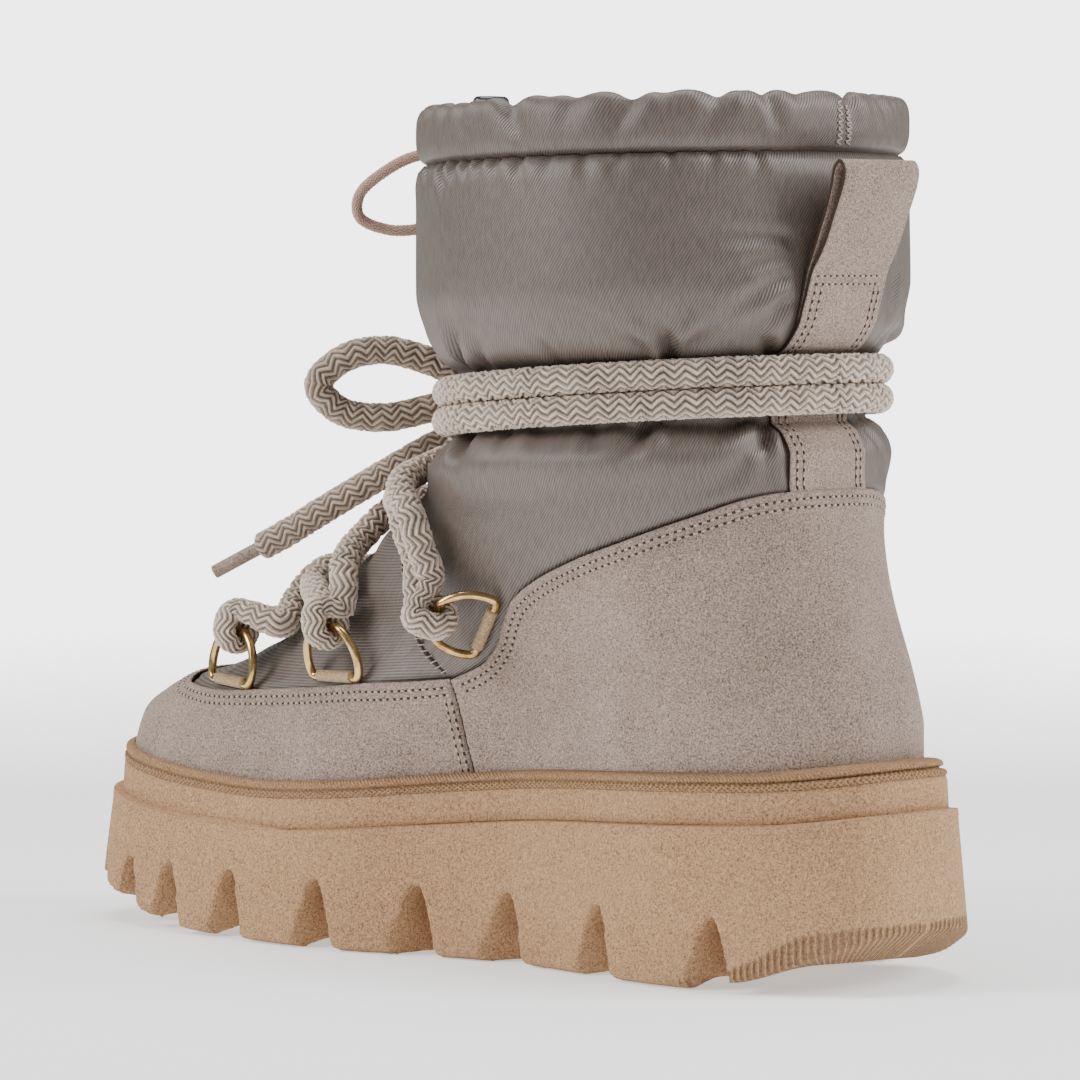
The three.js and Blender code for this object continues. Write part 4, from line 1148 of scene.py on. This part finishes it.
def edgeRows(angle, height, inward, distances):
    rows = []
    offset = boot["gap"] + boot["suede"] - 0.04
    into = np.cross(upperOut(angle, height), unit(np.gradient(bareUpper(angle, height), axis=0))) * inward
    for distance in distances:
        turn, rise = shiftOn(angle, height, into * distance)
        rise = np.clip(rise, 0.004, 0.99)
        rows.append((onUpper(turn, rise, offset), upperOut(turn, rise)))
    return rows


def addSuedeStitches():
    for name, counter in (("counter_stitches", True), ("guard_stitches", False)):
        angle, height = suedeEdge(counter)
        angle, height = angle[2:-2], height[2:-2]
        line = bareUpper(angle, height)
        down = np.cross(upperOut(angle, height), unit(np.gradient(line, axis=0)))[len(line) // 2]
        rows = edgeRows(angle, height, 1 if down[2] < 0 else -1, suede["rows"])
        if not counter:
            for side in (1, -1):
                up = np.linspace(0.004, suedeTop(np.array([1.0]), False)[0] - 0.026, 200)
                rows += edgeRows(suedeAngle(np.full_like(up, side), up, False), up, side, suede["seamRows"])
        addStitches(name, rows)


addUpper()
addSuede("counter_suede", True, "heel_counter")
addSuede("guard_suede", False, "toe_guard")
addSuedeStitches()
print("upper and suede done")


# Casing: gathered tunnel with the drawcord, its pleats as angle, half width in degrees, depth and lean
casing = {
    "zigzags": (-2.6, 0.4), "zigzag": 0.75, "legs": 15, "thread": 0.24, "threadLift": 0.15,
    "dig": 0.75, "bulge": 0.4, "drop": 0.95,
    "across": 420, "round": 44, "height": 14.2, "wall": 4.6,
    "section": [(-0.9, 0.0), (0.7, 0.10), (1.5, 0.34), (1.3, 0.66), (0.2, 0.9), (-2.2, 1.0), (-4.6, 0.9), (-5.4, 0.5),
                (-4.8, 0.0), (-3.6, -0.1), (-2.0, -0.06)],
    "pleats": [
        (108, 2.4, 1.0, 2), (101, 2.2, 0.8, -3), (94, 2.0, 0.6, 2), (84.5, 3.2, 2.0, -7), (74, 2.6, 0.6, 3),
        (66, 2.6, 0.8, 4), (52, 3.0, 1.9, 6), (44, 2.6, 0.7, -4), (31, 3.0, 1.7, 5), (25, 2.0, 0.6, -3),
        (20, 2.4, 1.6, -4), (11, 2.6, 0.8, 3), (-4, 2.4, 1.7, 2), (-10, 1.8, 0.8, -5), (-15, 2.2, 1.5, -7),
        (-21, 2.0, 1.2, -7), (-27, 2.2, 1.3, -5), (-35, 2.6, 1.0, 4), (-46, 3.0, 1.8, -5), (-58, 2.4, 0.8, 3),
        (-69, 3.2, 1.8, 5), (-81, 2.4, 0.9, -3), (-92, 3.0, 1.7, -5), (-104, 2.2, 0.8, 3), (-115, 2.8, 1.6, 4),
        (-127, 2.4, 1.0, -4), (-139, 2.8, 1.8, -4), (-151, 2.2, 0.9, 3), (-162, 2.8, 1.6, 5), (-173, 2.2, 1.0, -3),
        (175, 2.6, 1.5, 3), (163, 2.2, 1.0, -4), (152, 2.8, 1.8, 4), (141, 2.2, 0.8, 3), (130, 2.8, 1.6, -5),
        (118, 2.4, 1.2, 3),
    ],
}


def addCasing():
    section = catmull(np.array([(offset, rise, 0) for offset, rise in casing["section"]]), closed=True, per=12)
    section = np.vstack([section, section[:1]])
    lengths = pathLengths(section * [1, casing["height"], 0])
    lengths /= lengths[-1]

    def pleat(turn, rise):
        total = np.zeros_like(turn)
        for angle, half, deep, lean in casing["pleats"]:
            near = (np.degrees(turn) - angle - lean * (1 - rise) + 180) % 360 - 180
            ridges = sum(np.exp(-((near + apart * half) / (1.6 * half)) ** 2) for apart in (-2.4, 2.4))
            total += deep * (np.exp(-(near / half) ** 2) - 0.35 * ridges)
        return total

    def place(s, t):
        turn = 2 * np.pi * s
        offset = np.interp(t, lengths, section[:, 0])
        rise = np.interp(t, lengths, section[:, 1])
        outer = smooth(offset, -2.4, 0.5)
        dent = pleat(turn, rise) * np.clip(rise, 0, 1) ** 0.8
        offset = offset - dent * casing["dig"] * outer + dent * casing["bulge"] * (1 - outer)
        point = onUpper(turn, np.full_like(turn, 0.999), offset)
        base = collarLine(bareUpper(turn, np.ones_like(turn))[:, 0])
        point[:, 2] = base + boot["gap"] + rise * (casing["height"] + 0.4 - dent * casing["drop"])
        up = upper["upSize"] + t * 2 * (casing["height"] + casing["wall"])
        return point, np.stack([turn * upper["aroundSize"], up], -1)

    def values(s, t):
        return {"front": np.zeros_like(s)}

    mesh = gridMesh("casing_cloth", casing["across"], casing["round"], place, values)
    addPiece("casing_cloth", mesh, ["nylon"], ["collar_casing"])
    outer = [share for share in np.linspace(0, 1, 400) if np.interp(share, lengths, section[:, 0]) > 0.6]
    legs = []
    for seam in casing["zigzags"]:
        count = casing["legs"]
        t = np.linspace(min(outer), max(outer), count)
        turn = np.radians(seam + casing["zigzag"] * np.where(np.arange(count) % 2, 1, -1))
        corners = place(turn / (2 * np.pi), t)[0]
        corners += unit(corners * [1, 1, 0] - [boot["shaftCentre"], 0, 0]) * casing["threadLift"]
        for a, b in zip(corners, corners[1:]):
            legs.append(tubeMesh("leg", np.array([a, (a + b) / 2, b]), casing["thread"], 6, step=0.6))
    addPiece("casing_thread", joinMeshes("casing_thread", legs), ["thread"], ())


addCasing()
print("casing done")

# Pull strap: one ribbon up the back, over in a loop and down again behind itself
strap = {
    "half": 14.5, "ply": 1.05, "leave": 176, "free": 196, "across": 44, "along": 300,
    "rowsUp": (130, 183.2), "rowsAcross": (183.2, 185.4), "hugTop": 214,
    "curl": 0.5, "curlAt": 205, "curlTall": 12, "curlWide": 5,
    "path": [(1.0, 126.5), (1.05, 134), (1.1, 150), (1.2, 160), (2.2, 166), (2.35, 178), (3.4, 186), (6.5, 192),
             (11, 202), (13.9, 209.5), (14.1, 213), (12.6, 214.9), (10.9, 213.4), (10.0, 209), (8.2, 203),
             (5, 195.5), (2.9, 190), (1.3, 184.5), (1.0, 178), (1.0, 165)],
}
strapBack = float(max(upperCurves["back"](np.array([0.8, 0.85, 0.9, 0.95]))))


def backPlace(y, z):  # angle and share of the height at the back of the shaft
    x = np.full_like(y, strapBack)
    height = (z - seat(x)) / (collarLine(x) - seat(x))

    def before(angle):
        return bareUpper(angle, height)[:, 1] > y

    return halved(np.full_like(y, -1.3), np.full_like(y, 1.3), before), height


def strapPoint(across, behind, z):
    angle, height = backPlace(across, np.minimum(z, strap["hugTop"]))
    hug = onUpper(angle, np.clip(height, 0, 0.995), behind + 0.1)
    hug[:, 2] = z
    free = np.stack([strapBack + behind, across, z], -1)
    share = smooth(z, strap["leave"], strap["free"])[:, None]
    return hug * (1 - share) + free * share


def addStrap():
    line = catmull([(d, 0, z) for d, z in strap["path"]], per=16)
    lengths = pathLengths(line)

    def place(s, t):
        at = t * lengths[-1]
        behind, z = np.interp(at, lengths, line[:, 0]), np.interp(at, lengths, line[:, 2])
        across = (s * 2 - 1) * strap["half"]
        curl = strap["curl"] * (s * 2 - 1) ** 4 * np.exp(-((z - strap["curlAt"]) / strap["curlTall"]) ** 2)
        inset = strap["half"] - np.abs(across)
        edge = np.clip(1 - inset / strap["curlWide"], 0, 1)
        dip = sum(suede["grooveDeep"] * np.exp(-((inset - row) / suede["grooveHalf"]) ** 2) for row in suede["rows"])
        dip = dip * (z < 184) * (t < 0.5)
        point = strapPoint(across, behind - dip - curl * edge, z)
        return point, np.stack([across, at], -1)

    mesh = gridMesh("strap_suede", strap["across"], strap["along"], place, weld=False)
    piece = addPiece("strap_suede", mesh, ["suede", "rawEdgeAndHoleShade"], ["pull_strap"])
    wall(piece, strap["ply"], 0, 1, middle=True)
    front = line[:np.argmax(line[:, 2])]

    def middle(across, z):
        return strapPoint(across, np.interp(z, front[:, 2], front[:, 0]), z)

    def ribbon(across, z):
        point = middle(across, z)
        out = unit(np.cross(middle(across + 0.4, z) - point, middle(across, z + 0.4) - point))
        return point + out * (strap["ply"] / 2 - 0.02), out

    rows = []
    for side in (-1, 1):
        for inset in suede["rows"]:
            z = np.linspace(*strap["rowsUp"], 160)
            rows.append(ribbon(np.full_like(z, side * (strap["half"] - inset)), z))
    for z in strap["rowsAcross"]:
        reach = strap["half"] - suede["rows"][0]
        across = np.linspace(-reach, reach, 60)
        rows.append(ribbon(across, np.full_like(across, z)))
    addStitches("strap_stitches", rows)


addStrap()
print("strap done")


# Sole: lugged outsole, band above it, welt and insole
sole = {
    "around": 260, "voxel": 1.0, "flare": 2.8, "heelBevel": 7.5, "ribsTall": (9, 1.2), "ribsEnd": (0.15, 0.19),
    "teeth": (0.5, 1.7), "teethReach": 9, "teethDeep": 0.7,
    "grooveDepth": 16, "grooveHeight": 20, "grooveMouth": 13,
    "places": [0.112, 0.252, 0.381, 0.488, 0.598, 0.718, 0.811, 0.880, 0.944],
    "arch": [(-0.02, -0.3), (0.06, 0.1), (0.2, 0.52), (0.36, 0.86), (0.5, 1.0), (0.66, 0.88), (0.84, 0.48),
             (1.0, 0.1), (1.06, -0.3)],
    "sections": [(-0.38, 1.30, 1.0), (0.0, 1.02, 1.0), (0.5, 0.75, 0.95), (0.86, 0.5, 0.75), (1.0, 0.3, 0.5)],
    "rim": [(0.1, -2.6), (-0.3, -2.2), (-0.14, -0.6), (-0.02, -0.42), (0.3, -0.34), (6, -0.34)],
    "band": [(11.2, -0.32), (2.3, -0.32), (2.2, 0.1), (2.3, 2), (2.6, 7.4), (2.8, 8.1), (3.3, 8.5), (4.2, 8.5),
             (14.2, 8.5)],
    "footbed": [(6.2, 0.0), (5.5, 0.6), (5.5, 4.2), (6.0, 4.8), (7.2, 5.0), (12, 4.8), (20, 4.4)],
}


def lidded(name, rings):  # closed mesh from rings of points, with flat lids
    rings = [np.asarray(ring) for ring in rings]
    count = len(rings[0])
    bm = bmesh.new()
    loops = [[bm.verts.new(point * mm) for point in ring] for ring in rings]
    edges = [[bm.edges.new((loop[i], loop[(i + 1) % count])) for i in range(count)] for loop in loops]
    for low, high in zip(edges, edges[1:]):
        bmesh.ops.bridge_loops(bm, edges=low + high)
    bm.faces.new(loops[0])
    bm.faces.new(loops[-1])
    bmesh.ops.recalc_face_normals(bm, faces=bm.faces)
    return finishMesh(name, bm)


def outsoleRing(level):  # level 0 at the tread, 1 at the wall's lower edge, 2 at the rim
    turn = np.linspace(0, 2 * np.pi, sole["around"], endpoint=False)
    along = (1 - np.cos(turn)) / 2
    bevel = sole["heelBevel"] * sideCurves["bevel"](along)
    rise, wallLow = sideCurves["rise"](along) * boot["ledgeHeight"], sideCurves["wall"](along) * boot["ledgeHeight"]
    top = sideCurves["rim"](along) * boot["ledgeHeight"] - boot["gap"]
    if level <= 1:
        inset = bevel * (1 - level) - sole["flare"] * level
        z = rise * (1 - level) + wallLow * level
    else:
        inset = -sole["flare"] * (2 - level)
        z = wallLow * (2 - level) + top * (level - 1)
    x, y = planPoint(turn, inset)
    return np.stack([x, y, z], -1)


def grooveMesh(place, side):
    angle = np.float64(side * math.acos(1 - 2 * place))
    at = np.array([*planPoint(angle, 0), 0.0])
    ahead = np.array([*planPoint(angle + side * 0.01, 0), 0.0])
    run = unit(ahead - at)
    into = np.array([run[1], -run[0], 0]) * side
    shape = catmull([(share, level, 0) for share, level in sole["arch"]], per=6)
    rings = []
    for depth, width, height in sole["sections"]:
        ring = at + run * (shape[:, :1] * width * sole["grooveMouth"]) + into * depth * sole["grooveDepth"]
        ring[:, 2] = shape[:, 1] * sole["grooveHeight"] * np.where(shape[:, 1] > 0, height, 1)
        rings.append(ring)
    return lidded("groove", rings)


def applied(piece):  # mesh of a piece with its modifiers applied
    bpy.context.view_layer.update()
    graph = bpy.context.evaluated_depsgraph_get()
    return bpy.data.meshes.new_from_object(piece.evaluated_get(graph))


def addOutsole():
    rings = [outsoleRing(level) for level in np.concatenate([[0, 0.5], np.linspace(1, 2, 8)])]
    body = bpy.data.objects.new("body", lidded("body", rings))
    cutters = [grooveMesh(place, side) for place in sole["places"] for side in (1, -1)]
    cutter = bpy.data.objects.new("cutter", joinMeshes("cutter", cutters))
    for helper in (body, cutter):
        bpy.context.scene.collection.objects.link(helper)
    cut = body.modifiers.new("grooves", "BOOLEAN")
    cut.operation, cut.solver, cut.object, cut.use_self = "DIFFERENCE", "EXACT", cutter, True
    remesh = body.modifiers.new("even", "REMESH")
    remesh.mode, remesh.voxel_size = "VOXEL", sole["voxel"] * mm
    soften = body.modifiers.new("soften", "SMOOTH")
    soften.factor, soften.iterations = 0.5, 3
    mesh = applied(body)
    for helper in (body, cutter):
        bpy.data.objects.remove(helper)
    points = readRows(mesh.vertices, "co") / mm
    along = alongOf(points[:, 0])
    above = points[:, 2] - sideCurves["rise"](along) * boot["ledgeHeight"]
    edge = sideCurves["bevel"](along) * sole["ribsTall"][0] + sole["ribsTall"][1]
    onBevel = smooth(above, -0.6, 0.6) * (1 - smooth(above, edge - 0.4, edge + 0.4))
    onBevel *= 1 - smooth(along, *sole["ribsEnd"])
    fine = np.linspace(0, 2 * np.pi, 3000)
    outline = np.stack([*planPoint(fine, 0), 0 * fine], -1)
    lengths, tree = pathLengths(outline), treeOf(outline)
    nearest = [tree.find(Vector((x, y, 0))) for x, y in points[:, :2]]
    turn = lengths[[found[1] for found in nearest]]
    turn = np.minimum(turn, lengths[-1] - turn)
    apart = np.array([found[2] for found in nearest])
    teeth = (1 - smooth(above, *sole["teeth"])) * (apart < sole["teethReach"]) * sole["teethDeep"]
    # bevel marks the ribs and teeth; outsoleFinish bumps them and paints shade in their troughs
    addValues(mesh, {"bevel": np.maximum(onBevel, teeth), "turn": turn})
    mesh.materials.clear()
    mesh.name = "outsole_foam"
    addPiece("outsole_foam", mesh, ["outsole"], ["outsole"])


def addBand(name, profile, inset, replaced=()):  # a flat-topped band round the sole, with its foot at the rim
    turn = np.linspace(0, 2 * np.pi, 320, endpoint=False)
    base = rim(planPoint(turn, inset)[0])
    rings = [np.stack([*planPoint(turn, reach), base + rise], -1) for reach, rise in profile]
    addPiece(name, lidded(name, rings), ["foam"], replaced)


weltShape = {
    "inset": 2.6, "tall": 4.3,
    "reach": [-0.1, 0.2, 0.5, 0.69, 0.81, 0.84, 0.78, 0.66, 0.70, 0.88, 0.98, 1.0, 0.96, 0.88, 0.5, -0.1],
    "rise": [0.98, 1.02, 1.01, 0.95, 0.83, 0.69, 0.56, 0.47, 0.42, 0.38, 0.28, 0.16, 0.04, -0.06, -0.07, -0.07],
    "beads": [0, 0, 0, 0, 0, 0, 0, 0.3, 0.8, 1, 1, 1, 1, 1, 1, 1],
}


def addWelt():
    share = np.linspace(0, 1, len(weltShape["reach"]))
    reachCurve, riseCurve = column(share, weltShape["reach"]), column(share, weltShape["rise"])
    fine = np.linspace(0, 2 * np.pi, 2000)
    outline = np.stack([*planPoint(fine, weltShape["inset"]), 0 * fine], -1)
    lengths = pathLengths(outline)

    def place(s, t):
        turn = 2 * np.pi * s
        inner = onUpper(turn, np.full_like(turn, 0.004), boot["suede"])
        x, y = planPoint(turn, weltShape["inset"])
        reach, rise = reachCurve(t), riseCurve(t)
        base = rim(planPoint(turn, boot["bandInset"])[0]) + boot["bandHeight"]
        x, y = inner[:, 0] + (x - inner[:, 0]) * reach, inner[:, 1] + (y - inner[:, 1]) * reach
        points = np.stack([x, y, base + weltShape["tall"] * rise], -1)
        return points, np.stack([np.interp(turn, fine, lengths), t * 10], -1)

    def values(s, t):
        return {"beads": np.interp(t, share, weltShape["beads"])}

    mesh = gridMesh("welt_foam", 420, 40, place, values)
    outwards(mesh)
    addPiece("welt_foam", mesh, ["welt"], ["welt"])


def addInsole():
    turn = np.linspace(0, 2 * np.pi, 160, endpoint=False)
    rings = []
    for inset, rise in sole["footbed"]:
        point = onUpper(turn, np.zeros_like(turn), -inset)
        point[:, 2] = rim(point[:, 0]) + boot["bandHeight"] + boot["gap"] + rise
        rings.append(point)
    addPiece("insole_cloth", lidded("insole_cloth", rings), ["lining"], ["insole"])


addOutsole()
addBand("outsole_rim", sole["rim"], 0)
addBand("midsole_foam", sole["band"], boot["bandInset"], ["midsole"])
addWelt()
addInsole()
print("sole done")


# Seams between front panel and side panels, and the tape round each ring's bar
seamEdge = {
    "half": 0.5, "high": 0.4, "lift": 0.75, "step": 0.4, "thread": 0.16, "every": 5, "lean": 0.5,
    "over": ((-1.1, -0.2), (-0.5, 0.42), (0.5, 0.42), (1.1, -0.2)),
}


def addPanelSeams():
    for side, name in sideNames.items():
        line = catmull(np.stack([sideX(panelSeam["x"][:6]), np.zeros(6), sideZ(panelSeam["z"][:6])], -1))
        angle, height = sidePlace(line[:, 0], line[:, 2], side, 0.6)
        raised = onUpper(angle, height, seamEdge["lift"])
        path, places = evenly(raised, seamEdge["step"])
        lengths = pathLengths(raised)
        outs = upperOut(np.interp(places, lengths, angle), np.interp(places, lengths, height))
        across = np.cross(outs, unit(np.gradient(path, axis=0)))
        count = len(path) - 1

        def place(s, t, path=path, across=across, outs=outs, count=count):
            row = np.rint(t * count).astype(int)
            turn = 2 * np.pi * s
            frayed = 1 + 0.2 * np.sin(row * 1.9) + 0.15 * np.sin(row * 0.7)
            ends = np.sqrt(np.clip(np.minimum(row, count - row) / 3, 0, 1))
            wide, high = seamEdge["half"] * ends * frayed, seamEdge["high"] * ends
            spread = across[row] * (np.cos(turn) * wide)[:, None] + outs[row] * (np.sin(turn) * high)[:, None]
            return path[row] + spread, np.stack([row * seamEdge["step"], s * 4], -1)

        mesh = gridMesh("edge", 12, count, place)
        threads = [mesh]
        for row in range(3, count - 3, seamEdge["every"]):  # overcast thread across the edge
            lean = across[row] + unit(path[row + 1] - path[row]) * seamEdge["lean"]
            ends = [path[row] + lean * reach + outs[row] * rise for reach, rise in seamEdge["over"]]
            threads.append(tubeMesh("thread", np.array(ends), seamEdge["thread"], 6, step=0.5))
        joined = joinMeshes(f"panel_seam_{name}_edge", threads)
        dress(joined, ["rawEdgeAndHoleShade", "thread"])
        kinds = np.zeros(len(joined.polygons), int)
        kinds[len(mesh.polygons):] = 1
        joined.polygons.foreach_set("material_index", kinds)
        addPiece(f"panel_seam_{name}_edge", joined, (), [f"panel_seam_{name}"])


def addTabs():
    for side, rings in ringFrames.items():
        for number, ring in enumerate(rings, 1):
            line = np.array([ring["centre"] + ring["bar"] * reach for reach in np.linspace(-7, 7, 30)])
            name = f"ring_tab_{sideNames[side]}_{number}"
            mesh = tubeMesh(name + "_tape", line, boot["ringWire"] / 2 + 0.34, 16, step=0.5)
            capEnds(mesh)
            addPiece(name + "_tape", mesh, ["tape"], [name])


addPanelSeams()
addTabs()
print("seams and tabs done")

# Studio
studio = {
    "paper": (0.45, 1.25), "glow": 0.6, "backdrop": 4.2, "ambient": 0.26,
    "lamps": [("left", (-0.9, -1.45, 1.15), 1.0, 36), ("right", (1.45, 0.95, 1.05), 1.0, 36),
              ("top", (-0.1, 0.25, 2.2), 1.4, 34)],
}


def addStudio():
    bm = bmesh.new()
    bmesh.ops.create_grid(bm, x_segments=1, y_segments=1, size=2)
    floor = addPiece("floor", finishMesh("floor", bm), stage=True)
    paper = Finish("paper")
    where = paper.place()
    apart = paper.node("ShaderNodeVectorMath", 1, {"operation": "LENGTH"}, Vector=where)
    share = 1 - apart.between(*studio["paper"])  # the paper fades into the backdrop
    plug(paper.tree, paper.shader.inputs["Alpha"], share)
    color = paper.blend(paper.noise(where, 60, 2), (0.88, 0.88, 0.885, 1), (0.9, 0.9, 0.9, 1))
    glow = {"Emission_Color": (1, 1, 1, 1), "Emission_Strength": studio["glow"]}
    floor.data.materials.append(paper.finish(color, 0.8, **glow))
    world = bpy.data.worlds.new("studio")
    world.use_nodes = True
    nodes, links = world.node_tree.nodes, world.node_tree.links
    eye, strength = nodes.new("ShaderNodeLightPath"), nodes.new("ShaderNodeMapRange")  # bright backdrop, soft light
    strength.inputs["To Min"].default_value = studio["ambient"]
    strength.inputs["To Max"].default_value = studio["backdrop"]
    links.new(eye.outputs["Is Camera Ray"], strength.inputs["Value"])
    links.new(strength.outputs[0], nodes["Background"].inputs[1])
    nodes["Background"].inputs[0].default_value = (1, 1, 1, 1)
    bpy.context.scene.world = world
    aim = Vector((0, 0, 0.11))
    for name, place, size, power in studio["lamps"]:
        data = bpy.data.lights.new(name, "AREA")
        data.shape, data.size, data.energy = "SQUARE", size, power
        lamp = bpy.data.objects.new(name, data)
        lamp.location = place
        lamp.rotation_euler = (aim - Vector(place)).to_track_quat("-Z", "Y").to_euler()
        bpy.context.scene.collection.objects.link(lamp)


addStudio()
print("studio done")
